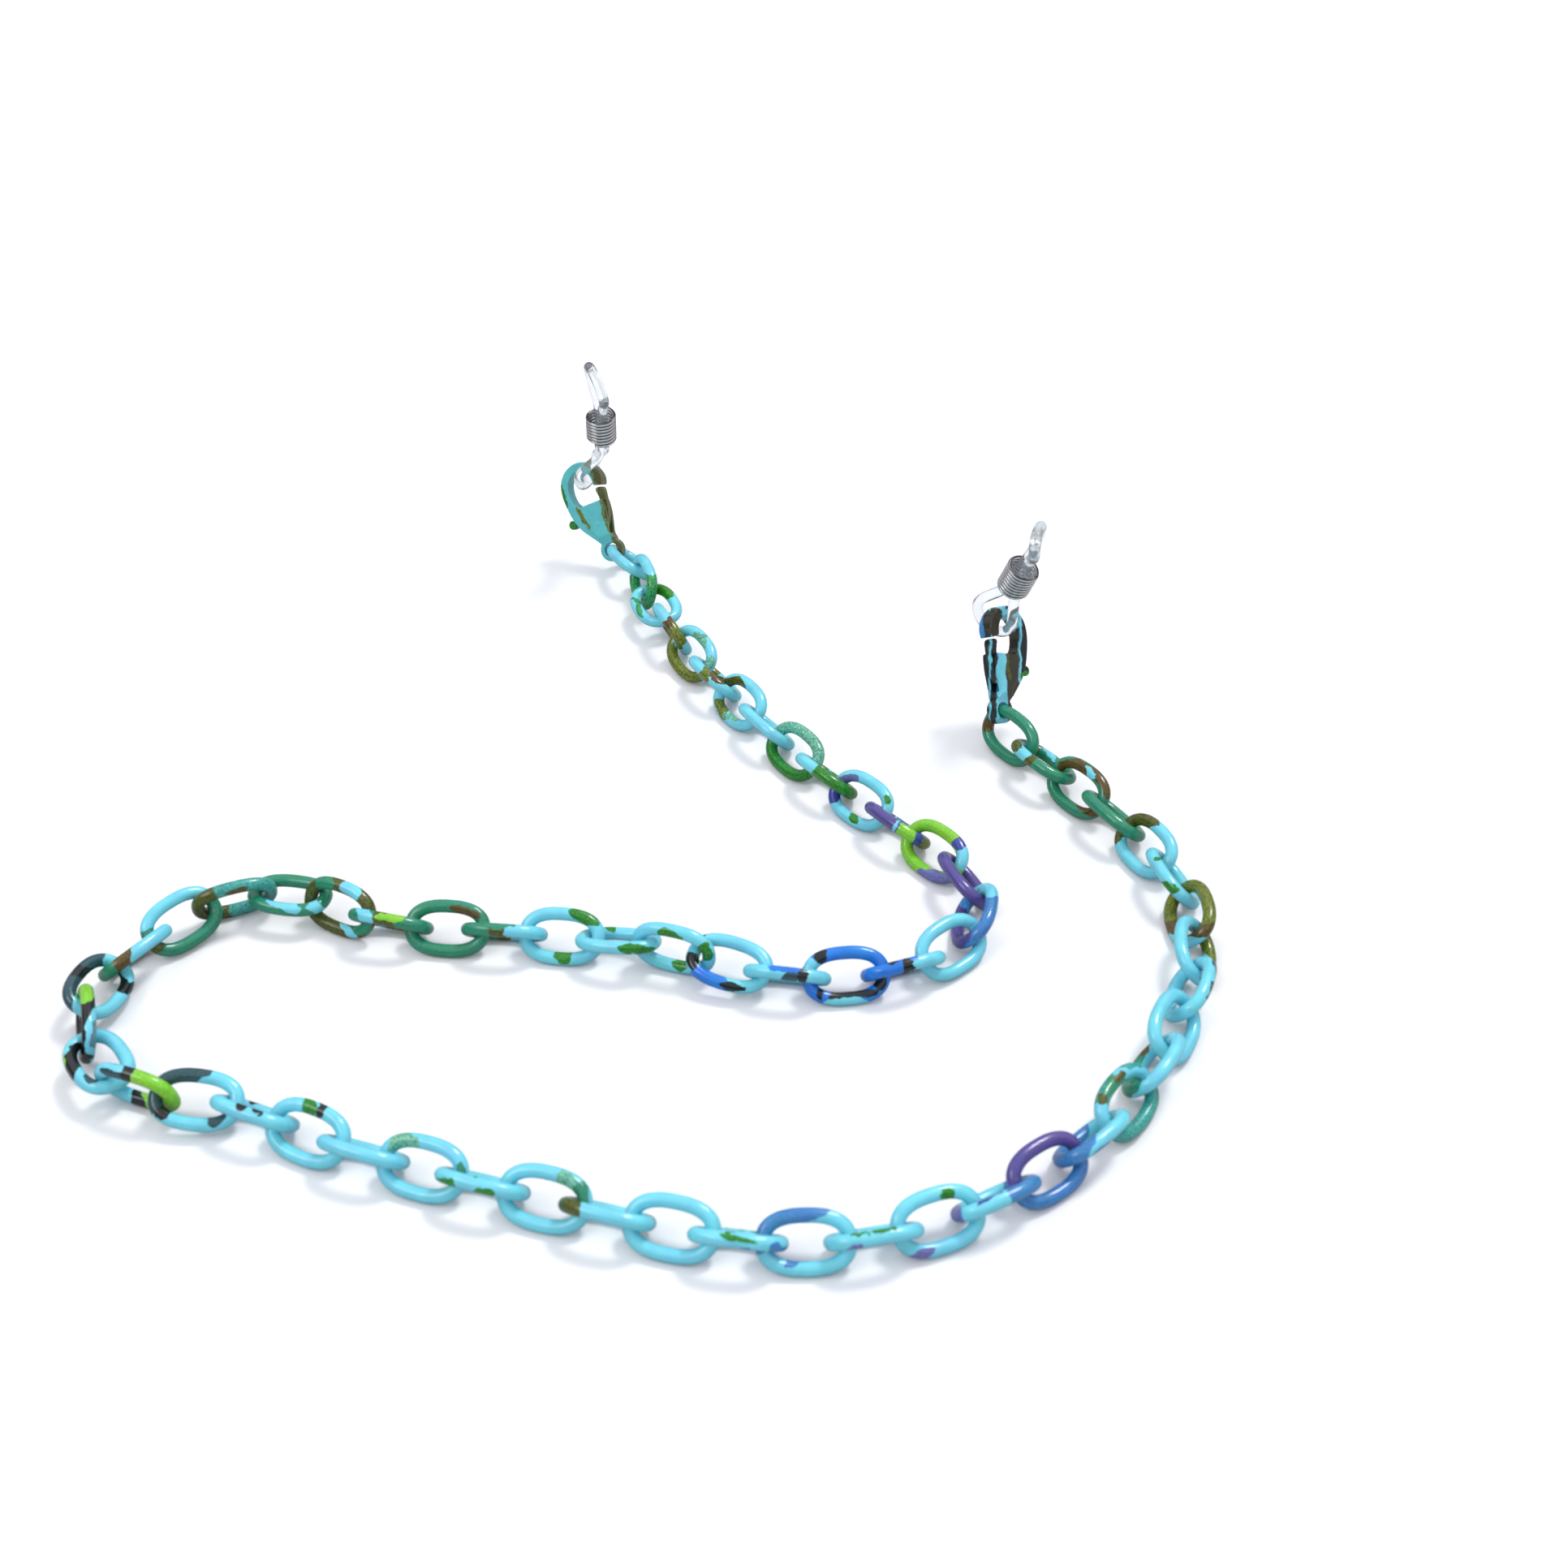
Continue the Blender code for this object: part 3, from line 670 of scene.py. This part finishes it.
def silicone_material():
    """Clear silicone, slightly cloudy, with painted grey shade where it is seen edge on."""
    material, tree = new_material("clear_silicone")
    _, place = local_mm(tree, 5)
    bump = bumped(tree, product(tree, noise(tree, place, "ripple"), 0.12), 0.5)
    rough = maths(tree, "MULTIPLY_ADD", noise(tree, place, "cord_polish"), 0.12, 0.04)
    # Painted shade: the cord greys where it is seen edge on, mixed with its real cloudiness
    facing = node(tree, "ShaderNodeLayerWeight", {"Blend": 0.5, "Normal": bump}).outputs["Facing"]
    edge = product(tree, product(tree, facing, facing), 0.8)
    cloud_and_edge_shade = maths(tree, "MULTIPLY_ADD", noise(tree, place, "cord_clouds"), 0.3, edge)
    show_surface(tree, Base_Color=mix(tree, cloud_and_edge_shade, CLEAR_TINT, CLOUD_AND_EDGE_SHADE_TINT), Roughness=rough, Normal=bump,
                 IOR=1.41, Transmission_Weight=0.9)
    return material


def groove_shade_mask(tree, scaled):
    """Painted shade in the groove between two turns of the coil: how deep a point lies there, from 0 to 1."""
    x, y, z = separate(tree, scaled)
    angle = maths(tree, "ARCTAN2", y, x)
    turns = maths(tree, "SUBTRACT", maths(tree, "DIVIDE", z, COIL_PITCH),
                  maths(tree, "DIVIDE", angle, 2 * math.pi))
    part = maths(tree, "FRACT", maths(tree, "ADD", turns, COIL_TURNS / 2 + 0.5))
    from_wire = product(tree, maths(tree, "ABSOLUTE", maths(tree, "SUBTRACT", part, 0.5)), 2.0)
    return step_up(tree, from_wire, 0.62, 0.22)


def wire_material(name, colour, polish, shade_grooves=False):
    """Drawn wire with faint stains; on a coil, painted shade darkens it between the turns."""
    material, tree = new_material(name)
    scaled, place = local_mm(tree, 9)
    drawn = noise(tree, vector(tree, "MULTIPLY", place, (1, 1, 6)), "drawn")
    stain = step_up(tree, noise(tree, place, "stain"), 0.62, 0.1)
    tone = mix(tree, stain, colour, tuple(c * STAINED for c in colour))
    if shade_grooves:
        # Painted shade: the coil is darkened between its turns
        tone = mix(tree, groove_shade_mask(tree, scaled), tone, GROOVE_SHADE_COLOUR)
    show_surface(tree, Base_Color=tone, Metallic=1.0, Normal=bumped(tree, product(tree, drawn, 0.01), 0.3),
                 Roughness=maths(tree, "MULTIPLY_ADD", drawn, 0.14, polish))
    return material


# ---------------------------------------------------------------- chain

# Each link's print: its base colour, then layers as seen from the camera in millimetres from the
# link's centre. A layer of three numbers is a band: angle, start, end. One of five numbers is a
# blot: centre right and up, radius along and across, and angle.
PRINTS = {
    1: ("sky", ("black", 2.9, 0.4, 0.7, 0.5, 0), ("green", 3.8, -1.1, 1.1, 0.9, 0)),
    2: ("sky", ("snake", -90, -1.3, 9)),
    3: ("sky", ("green", 0.6, 3.0, 2.6, 1.9, -20), ("snake", -3.0, -0.6, 2.2, 0.6, -70)),
    4: ("sky", ("moss", -40, -1.5, 3.6), ("brown", -40, -1.5, -0.5)),
    5: ("sky", ("moss", 215, 1.4, 9), ("pale", 1.6, 2.2, 1.8, 0.9, -55), ("pale", 2.9, -1.8, 1.2, 0.8, 70)),
    6: ("sky", ("moss", -40, -2.5, -0.4), ("brown", 1.1, -0.4, 2.2, 0.55, -42)),
    7: ("sky", ("olive", -1.4, 3.2, 2.3, 1.3, -10), ("moss", -3.1, -1.0, 2.0, 0.9, -60),
        ("pale", -1.2, -2.6, 1.5, 0.6, -30)),
    8: ("sky", ("green", 1.5, 1.4, 1.9, 0.8, -40)),
    9: ("pale", ("green", 225, 1.2, 9)),
    10: ("sky", ("green", -40, -1.9, 9), ("sky", 0.9, 1.9, 2.2, 0.9, -38)),
    11: ("sky", ("violet", -2.2, 3.0, 2.0, 1.0, 15), ("indigo", -4.5, 0.8, 1.3, 1.3, 0),
         ("green", -1.0, -2.6, 0.7, 0.9, 20), ("green", 3.9, 0.2, 0.6, 0.7, 0)),
    12: ("purple", ("sky", -35, -0.6, -0.15), ("indigo", -35, -0.15, 0.1), ("lime", -35, 0.1, 2.6),
         ("indigo", -35, 2.6, 4.0), ("moss", -35, 4.0, 9), ("indigo", 1.0, 1.4, 2.4, 0.7, -35)),
    13: ("lime", ("violet", 0.6, -4.0, 3.2, 1.2, -15), ("sky", 4.2, -1.0, 1.5, 2.0, 0),
         ("indigo", 3.4, 1.3, 1.1, 0.9, 30)),
    14: ("purple",),
    15: ("blue", ("sky", 1.6, 4.1, 2.4, 1.2, -10), ("purple", -2.2, -2.0, 3.2, 1.3, 80)),
    16: ("sky",),
    17: ("sky", ("royal", 180, 0.3, 9), ("black", 0, -0.3, 1.0), ("royal", 0.6, 1.5, 1.3, 0.5, 5),
         ("black", -1.6, 1.1, 1.1, 0.5, 10)),
    18: ("royal", ("sky", -4.6, 1.6, 1.2, 1.2, 0), ("black", -3.4, 2.9, 0.8, 1.2, 0),
         ("sky", 0.3, -3.6, 3.2, 0.8, 0), ("black", 1.2, -2.3, 3.2, 0.7, 8),
         ("black", -3.2, -2.3, 0.5, 0.9, 0), ("black", 4.7, -0.6, 1.1, 1.4, 0)),
    19: ("sky", ("royal", 0.2, 1.2, 2.6, 0.5, -5), ("slate", 0.4, 0.0, 1.6, 0.7, 10),
         ("black", 2.3, 0.3, 1.0, 0.8, 60)),
    20: ("sky", ("royal", -2.8, -2.2, 3.0, 1.6, -25), ("black", 0.4, -3.2, 1.8, 0.7, -8),
         ("black", -5.2, 0.4, 1.0, 1.2, 0), ("black", -3.8, 3.6, 0.6, 0.4, 30)),
    21: ("sky", ("green", -0.7, 2.0, 1.7, 1.0, -10), ("green", 0.9, -2.0, 1.2, 1.0, 0),
         ("green", 4.3, -0.2, 1.2, 1.6, 0)),
    22: ("sky", ("green", -1.6, 1.6, 0.9, 0.9, 0), ("green", 2.9, -1.3, 2.9, 0.9, 0)),
    23: ("sky", ("green", 3.2, 2.9, 2.1, 1.2, -25), ("green", 0.3, -2.8, 1.4, 1.0, 0)),
    24: ("sky", ("teal", 180, 1.6, 9), ("olive", 0, -1.6, 0.7), ("teal", 0.2, 1.1, 2.0, 0.5, 0)),
    25: ("teal", ("brown", 2.8, 2.2, 2.0, 0.7, -20)),
    26: ("teal", ("olive", 0, -1.9, 1.3), ("sky", 20, -3.6, -1.7), ("lime", 0.6, 0.9, 2.3, 0.5, 0)),
    27: ("olive", ("teal", -2.0, 3.8, 1.6, 1.0, 10), ("sky", 2.2, 2.4, 1.6, 1.2, -30),
         ("sky", 1.2, -3.3, 1.6, 0.6, -35), ("teal", 3.5, -2.9, 1.4, 0.9, 0),
         ("lime", -3.4, -2.9, 2.6, 0.3, -40)),
    28: ("teal", ("sky", 0.0, -1.2, 3.0, 0.9, -15), ("sky", 4.4, -1.6, 1.1, 1.0, 0)),
    29: ("aqua", ("olive", 200, 1.6, 9), ("brown", 0.8, 1.3, 1.6, 0.5, 15)),
    30: ("teal", ("sky", 120, 1.0, 9), ("olive", -3.7, -3.2, 2.0, 1.1, 0)),
    31: ("sky", ("teal", 190, 1.2, 9), ("brown", 8, -1.4, 0.8)),
    32: ("sky", ("slate", 165, 1.2, 9), ("black", 70, 0.4, 1.7)),
    33: ("black", ("lime", 100, 3.0, 9), ("sky", 0, 1.8, 9), ("grey", 2.9, -0.5, 0.6, 2.2, 0),
         ("sky", -1.5, -3.6, 1.6, 0.7, -20)),
    34: ("sky", ("black", -3.3, -0.4, 2.6, 1.3, 100), ("lime", -4.3, -1.0, 2.4, 0.35, 105),
         ("slate", 1.0, -0.6, 1.8, 1.2, 30)),
    35: ("sky", ("slate", -1.8, 1.6, 2.8, 0.8, -10), ("black", 0, -1.4, 0.3), ("lime", 0, 0.3, 9)),
    36: ("sky", ("slate", 130, 1.7, 9), ("slate", 3.2, -2.2, 1.6, 1.0, 40),
         ("black", -3.9, -1.8, 1.0, 1.0, 0)),
    37: ("sky", ("black", -0.8, 1.6, 0.8, 0.8, 0), ("black", 1.5, 0.8, 0.9, 0.7, -20)),
    38: ("sky", ("green", 0.3, 3.2, 0.9, 1.2, 0), ("black", 1.6, 2.8, 0.5, 1.1, -10)),
    39: ("sky",),
    40: ("sky", ("pale", -2.4, 3.2, 2.2, 1.3, 10), ("teal", 5.0, 0.2, 0.5, 1.2, 0)),
    41: ("sky", ("green", -4.6, -0.2, 1.6, 1.4, 0), ("green", 0.5, -0.6, 1.5, 0.6, -10),
         ("green", -0.5, 1.6, 1.3, 0.5, -15)),
    42: ("sky", ("pale", 3.0, 2.4, 1.5, 1.2, -40), ("teal", 5.0, 0.9, 1.0, 1.2, 0)),
    43: ("sky", ("olive", 180, 3.2, 9), ("brown", 0.8, 1.7, 2.2, 0.25, -12)),
    44: ("sky",),
    45: ("sky", ("blue", 0.9, -0.7, 0.8, 0.5, -10), ("green", 0.0, 0.9, 2.4, 0.35, -12),
         ("blue", 5.0, -0.9, 1.2, 1.0, 0)),
    46: ("sky", ("blue", 120, 1.7, 9), ("blue", -1.3, -2.4, 1.3, 0.4, 0)),
    47: ("sky", ("violet", -2.2, -0.7, 1.2, 0.6, 0), ("green", -0.3, 1.5, 2.8, 0.45, 5)),
    48: ("sky", ("green", 1.0, 3.6, 1.2, 0.7, 10), ("violet", -2.3, -3.9, 2.4, 0.6, 10)),
    49: ("sky", ("blue", 20, 1.6, 9), ("violet", 200, 4.6, 9), ("indigo", -0.6, 1.0, 2.0, 0.5, 25)),
    50: ("blue", ("purple", 115, 0.6, 9)),
    51: ("sky", ("blue", 150, 0.4, 9), ("blue", 1.0, -0.6, 1.6, 0.5, 40)),
    52: ("aqua", ("sky", -4.0, -1.0, 1.3, 1.6, 0), ("sky", 0.6, 3.8, 2.6, 1.0, 0),
         ("teal", -2.3, 2.3, 1.4, 0.8, 45), ("olive", -1.2, 3.3, 1.0, 0.7, 45),
         ("olive", -3.5, 1.0, 0.8, 0.5, 40)),
    53: ("sky", ("teal", 150, 0.9, 9), ("brown", -0.5, 2.0, 1.0, 0.6, 40)),
    54: ("sky",),
    55: ("sky", ("slate", -20, 2.2, 9), ("sky", 1.8, -2.6, 1.2, 0.8, 0)),
    56: ("sky", ("moss", 0, 1.4, 9), ("brown", 2.6, 2.8, 0.7, 1.0, 0), ("sky", 2.2, -1.5, 1.6, 0.35, -20),
         ("brown", 1.5, -3.2, 1.8, 0.9, 15)),
    57: ("moss", ("brown", -90, 1.0, 9), ("brown", -1.0, 1.5, 0.3, 2.4, 0), ("sky", -90, 3.1, 9)),
    58: ("sky", ("green", -1.0, -1.4, 1.3, 0.8, -10), ("green", -2.2, 3.0, 1.0, 0.4, 20)),
    59: ("sky", ("olive", 120, 2.0, 9)),
    60: ("teal",),
    61: ("teal", ("brown", 0.2, 3.0, 2.8, 1.3, -20), ("brown", 3.6, 1.0, 1.3, 2.4, 15),
         ("sky", 1.6, 2.3, 0.6, 1.2, 25), ("brown", 1.0, -3.3, 1.7, 1.1, -20)),
    62: ("teal", ("olive", 145, 1.6, 9), ("sky", 145, 2.8, 4.2), ("sky", 1.2, 1.1, 1.5, 0.5, -40)),
    63: ("teal", ("brown", -3.3, 2.2, 1.2, 1.2, 40)),
}


def link_ring():
    points = []
    for step in range(RING_STEPS):
        angle = 2 * math.pi * step / RING_STEPS
        x, y = math.cos(angle), math.sin(angle)
        reach = (abs(x) ** SQUARENESS + abs(y) ** SQUARENESS) ** (-1 / SQUARENESS)
        points.append(Vector((HALF_LENGTH * x * reach, HALF_WIDTH * y * reach, 0)))
    return points


def add_links():
    for number, (name, centre, u, w) in find_links().items():
        matrix = link_matrix(centre, u, w)
        base, *layers = PRINTS[number]
        mesh = tube(link_ring(), WIRE_R, True, WIRE_SIDES, "link")
        add_piece(f"enamelled_link_{number:02d}", mesh, matrix, frame["nodes"][name]["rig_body"], [name],
                  link_material(number, matrix, base, layers))


# ---------------------------------------------------------------- clasps

def joint_frame(child):
    """A joint's place and the way its axis points."""
    joint = JOINTS[child]
    return Vector(joint.get("pos_m", (0, 0, 0))), Vector(joint["axis"]).normalized()


def clasp_matrix(side):
    """The clasp's frame, from the joint at its eye and the joint of its lever."""
    eye, y = joint_frame(side + "_clasp")
    pivot, _ = joint_frame(side + "_lever")
    to_pivot = (pivot - eye).normalized()
    across = y.cross(to_pivot)
    lean = math.atan2(PIVOT[0], PIVOT[1])
    z = math.cos(lean) * to_pivot - math.sin(lean) * across
    x = y.cross(z)
    return Matrix.Translation(eye) @ Matrix((x, y, z)).transposed().to_4x4()


def cut(piece, mesh):
    """Adds a cut by the mesh, and returns the object that cuts."""
    cutter = place_object("cutter", mesh)
    boolean = piece.modifiers.new("cut", "BOOLEAN")
    boolean.operation = "DIFFERENCE"
    boolean.solver = "EXACT"
    boolean.object = cutter
    return cutter


def both_sides(section, length):
    """A section in y and z mirrored about y = 0 and run along x."""
    work = bmesh.new()
    for way in (-1, 1):
        corners = [Vector((way * y, z)) for y, z in section]
        block = prism(corners, length)
        block.transform(Matrix.Rotation(math.pi / 2, 4, "Z"))
        work.from_mesh(block)
    return mesh_from(work, "both_sides")


def face_cut(section, depth):
    """Blocks that take both faces down to a depth inside a section in x and z."""
    block_thick = 2.0
    work = bmesh.new()
    for way in (-1, 1):
        block = prism(outline(section), block_thick)
        block.transform(Matrix.Translation((0, way * (BODY_THICK / 2 - depth + block_thick / 2), 0)))
        work.from_mesh(block)
    return mesh_from(work, "face_cut")


def body_mesh():
    """The hook, neck and eye, cut through and slotted, with the edges of a die casting."""
    neck_left = math.atan2(NECK_LEFT[1], NECK_LEFT[0])
    neck_right = math.atan2(NECK_RIGHT[1], NECK_RIGHT[0])
    eye = arc((0, 0), EYE_R, neck_left, neck_right + 2 * math.pi, 28)
    corners = outline(HOOK_OUTSIDE, 6) + eye + outline(GATE_SIDE, 4) + outline(HOOK_INSIDE, 6)
    piece = place_object("casting", prism(corners, BODY_THICK))
    bevel = add_bevel(piece, BODY_EDGE, 3)
    bevel.limit_method = "ANGLE"
    bevel.angle_limit = SHARP
    cutters = [cut(piece, mesh) for mesh in (
        both_sides(EYE_RELIEF, 4 * BODY_THICK), face_cut(HOOK_FACE, HOOK_SUNK),
        rod(EYE_HOLE_R, 3 * BODY_THICK, (0, 0), 40), prism(outline(SLOT), SLOT_WIDE))]
    soften(piece, BODY_VOXEL, 3)
    mesh = take_mesh(piece)
    for cutter in cutters:
        bpy.data.objects.remove(cutter)
    return mesh


def lever_mesh():
    start, end = (math.radians(angle) for angle in KNOB_ENDS)
    knob = arc(KNOB_CENTRE, KNOB_R, start, end, 20)
    corners = outline(LEVER_OUTSIDE, 4) + knob + outline(LEVER_INSIDE, 4)
    piece = place_object("lever", prism(corners, LEVER_THICK))
    soften(piece, LEVER_VOXEL, 6)
    return take_mesh(piece)


def rivet_mesh():
    """The peened pivot pin: a shank with a shallow domed head at each end."""
    profile = [*RIVET, *((radius, -height) for radius, height in reversed(RIVET[:-1]))]
    work = bmesh.new()
    rings = []
    for radius, height in profile:
        steps = RIVET_SIDES if radius else 1
        turns = [2 * math.pi * k / RIVET_SIDES for k in range(steps)]
        rings.append([work.verts.new((PIVOT[0] + radius * math.cos(a), height,
                                      PIVOT[1] + radius * math.sin(a))) for a in turns])
    for one, two in zip(rings, rings[1:]):
        for k in range(RIVET_SIDES):
            after = k + 1
            loop = [one[k % len(one)], one[after % len(one)], two[after % len(two)], two[k % len(two)]]
            work.faces.new(list(dict.fromkeys(loop)))
    return mesh_from(work, "rivet")


def leaf_mesh():
    piece = place_object("leaf", prism(outline(LEAF), LEAF_WIDE))
    add_bevel(piece, LEAF_EDGE, 2)
    return take_mesh(piece)


# ---------------------------------------------------------------- loops and coils

def loop_point(side, s, half):
    """A point of the loop's cord, half across from its length axis at station s."""
    low, high, twist = BENDS[side]
    turn = math.radians(twist) * ease((s - WAIST_START) / (WAIST_END - WAIST_START))
    bend = low * ease(s / WAIST_START) + high * (max(s - WAIST_END, 0) / (LOOP_TOP - WAIST_END)) ** 2
    return Vector((half * math.cos(turn), half * math.sin(turn) + bend, s))


def half_loop():
    """One side of the loop as station and half width: lower eye, throat, waist, flare, upper eye."""
    shares = [step / LOOP_STEPS for step in range(1, LOOP_STEPS + 1)]
    quarter = math.pi / 2
    points = [(-LOWER_EYE_R * math.cos(quarter * t),
               LOWER_EYE_R * math.sin(quarter * t)) for t in (0, *shares)]
    points += [(WAIST_START * t, LOWER_EYE_R + (WAIST_HALF - LOWER_EYE_R) * ease(t)) for t in shares]
    points += [(WAIST_START + (WAIST_END - WAIST_START) * t, WAIST_HALF) for t in shares]
    points += [(WAIST_END + (UPPER_EYE_S - WAIST_END) * t,
                WAIST_HALF + (UPPER_EYE_R - WAIST_HALF) * ease(t)) for t in shares]
    points += [(UPPER_EYE_S + (LOOP_TOP - UPPER_EYE_S) * math.sin(quarter * t),
                UPPER_EYE_R * math.cos(quarter * t)) for t in shares[:-1]]
    return points


def loop_curve(side):
    """The closed cord: round the hook, up through the waist, round the temple eye and back."""
    one_side = half_loop()
    there = [loop_point(side, s, half) for s, half in one_side]
    back = [loop_point(side, s, -half) for s, half in reversed(one_side[1:])]
    ring = there + [loop_point(side, LOOP_TOP, 0)] + back
    lap, steps = 2, 4
    closed = smooth_curve(ring[-lap:] + ring + ring[:lap], steps)
    return closed[lap * steps:-lap * steps - 1]


def loop_matrix(side):
    """The loop's frame: z up the cord from the hook, y along the hook."""
    seat, y = joint_frame(side + "_loop")
    _, z = joint_frame(side + "_coil")
    return Matrix.Translation(seat) @ Matrix((y.cross(z), y, z)).transposed().to_4x4()


def coil_matrix(side):
    """The loop's frame moved to the middle of the CAD coil."""
    lowest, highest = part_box(side + "_coil_slider")
    matrix = loop_matrix(side)
    matrix.translation = (lowest + highest) / 2
    return matrix


def coil_points():
    points = []
    for step in range(int(COIL_TURNS * COIL_STEPS) + 1):
        turns = step / COIL_STEPS
        angle = 2 * math.pi * turns
        height = (turns - COIL_TURNS / 2) * COIL_PITCH
        points.append(Vector((COIL_R * math.cos(angle), COIL_R * math.sin(angle), height)))
    return points


# The clasps' prints, in the same way, from the middle of each clasp's eye
CLASP_PRINTS = {
    "left": ("turquoise", ("moss", 17, 0.15, 0.5), ("olive", 17, 0.5, 9), ("moss", -5.5, 5.8, 2.4, 0.32, -60),
             ("green", -9.3, 9.6, 2.6, 0.45, -76), ("brown", -2.7, 12.3, 0.8, 0.5, -20),
             ("green", -7.7, 4.0, 1.2, 1.1, 0)),
    "right": ("umber", ("blue", 0, -4.0, -2.55), ("black", 0, -2.55, -1.75), ("sky", 0, -1.75, -1.4),
              ("black", 0, -1.4, -0.55), ("sky", 0, -0.55, 1.15), ("olive", 1.4, 8.2, 0.35, 3.5, 8),
              ("sky", 0, 3.3, 3.75), ("black", 0, 3.75, 9), ("umber", -0.8, 14.3, 2.5, 1.5, 78),
              ("sky", 1.4, 15.5, 0.9, 0.8, 0), ("sky", 1.9, 13.7, 1.7, 0.8, 20),
              ("green", 4.5, 5.6, 1.0, 0.9, 0)),
}


def add_hardware(side, seed, silicone, coil_wire, steel):
    matrix = clasp_matrix(side)
    base, *layers = CLASP_PRINTS[side]
    clasp, lever, loop, coil = (side + name for name in ("_clasp", "_lever", "_loop", "_coil"))
    cast_paint = cast_material(side + "_clasp_enamel", seed, matrix, base, layers)
    lever_paint = cast_material(side + "_lever_enamel", seed, matrix, base, layers)
    add_piece(side + "_cast_body", body_mesh(), matrix, clasp, [side + "_clasp_body"], cast_paint)
    add_piece(side + "_gate_lever", lever_mesh(), matrix, lever, [side + "_clasp_lever"], lever_paint)
    add_piece(side + "_rivet", rivet_mesh(), matrix, clasp, [side + "_clasp_pin"], cast_paint)
    add_piece(side + "_leaf_spring", leaf_mesh(), matrix, clasp, [side + "_clasp_spring"],
              steel)
    cord = tube(loop_curve(side), CORD_R, True, CORD_SIDES, "cord")
    add_piece(side + "_temple_cord", cord, loop_matrix(side), loop, [side + "_silicone_loop"],
              silicone)
    wire = tube(coil_points(), COIL_WIRE_R, False, COIL_SIDES, "coil")
    add_piece(side + "_coil", wire, coil_matrix(side), coil, [side + "_coil_slider"], coil_wire)


# ---------------------------------------------------------------- studio

def choose(tree, switch, chosen, otherwise):
    """One value where the switch is 1, another where it is 0."""
    return maths(tree, "ADD", product(tree, chosen, switch), product(tree, less(tree, switch), otherwise))


def add_floor():
    work = bmesh.new()
    bmesh.ops.create_grid(work, x_segments=1, y_segments=1, size=FLOOR_HALF)
    floor = place_object("floor", mesh_from(work, "floor"))
    material, tree = new_material("floor")
    _, place = local_mm(tree, 21)
    grain = maths(tree, "MULTIPLY_ADD", noise(tree, place, "floor_grain"), FLOOR_GRAIN, FLOOR_ALBEDO)
    rays = node(tree, "ShaderNodeLightPath").outputs
    seen = maths(tree, "MAXIMUM", rays["Is Camera Ray"], rays["Is Transmission Ray"])
    albedo = choose(tree, seen, grain, FLOOR_BOUNCE)
    tinted = vector(tree, "MULTIPLY", combine(tree, albedo, albedo, albedo), FLOOR_TINT)
    show_surface(tree, Base_Color=tinted, Roughness=0.9, Specular_IOR_Level=0.1)
    floor.data.materials.append(material)


def add_world():
    """An even pale tent. Where it is mirrored it darkens towards the horizon, in panels."""
    world = bpy.data.worlds.new("studio")
    bpy.context.scene.world = world
    world.use_nodes = True
    tree = world.node_tree
    tree.nodes.clear()
    way = separate(tree, node(tree, "ShaderNodeTexCoord").outputs["Generated"])
    roof = step_up(tree, way[2], 0.42, 0.10)
    panels = step_up(tree, maths(tree, "SINE", product(tree, way[0], 7.0)), 0.25, 0.3)
    brightest = maths(tree, "MAXIMUM", roof, product(tree, panels, 0.55))
    mirrored = maths(tree, "MULTIPLY_ADD", brightest, MIRRORED_LEVEL, MIRRORED_LEAST)
    glossy = node(tree, "ShaderNodeLightPath").outputs["Is Glossy Ray"]
    level = choose(tree, glossy, mirrored, WORLD_LEVEL)
    tent = node(tree, "ShaderNodeBackground", {"Color": TENT_COLOUR, "Strength": level})
    node(tree, "ShaderNodeOutputWorld", {"Surface": tent.outputs[0]})


def add_lights():
    """A soft sun from the upper right and a faint fill from the left."""
    sun = bpy.data.lights.new("key", "SUN")
    sun.energy = SUN_LEVEL
    sun.angle = SUN_SPREAD
    place_object("key", sun).rotation_euler = Vector(SUN_FROM).to_track_quat("Z", "Y").to_euler()
    fill = bpy.data.lights.new("fill", "AREA")
    fill.shape = "RECTANGLE"
    fill.size, fill.size_y = FILL_SIZE
    fill.energy = FILL_POWER
    lamp = place_object("fill", fill)
    lamp.location = FILL_PLACE
    lamp.rotation_euler = (-Vector(FILL_PLACE)).to_track_quat("-Z", "Y").to_euler()


def add_camera():
    lens = bpy.data.cameras.new("camera")
    lens.lens = LENS
    lens.sensor_width = SENSOR
    lens.clip_start = NEAREST
    lens.dof.use_dof = True
    lens.dof.focus_distance = FOCUS
    lens.dof.aperture_fstop = F_STOP
    camera = place_object("camera", lens)
    camera.location = CAMERA_PLACE
    camera.rotation_euler = (math.pi / 2 - LOOK_DOWN, 0, 0)
    bpy.context.scene.camera = camera
    bpy.context.scene.view_settings.view_transform = "Standard"


add_links()
SILICONE = silicone_material()
COIL_WIRE = wire_material("coil_wire", COIL_COLOUR, 0.08, shade_grooves=True)
STEEL = wire_material("inner_steel", LEAF_COLOUR, 0.3)
add_hardware("left", 71, SILICONE, COIL_WIRE, STEEL)
add_hardware("right", 83, SILICONE, COIL_WIRE, STEEL)
add_floor()
add_world()
add_lights()
add_camera()
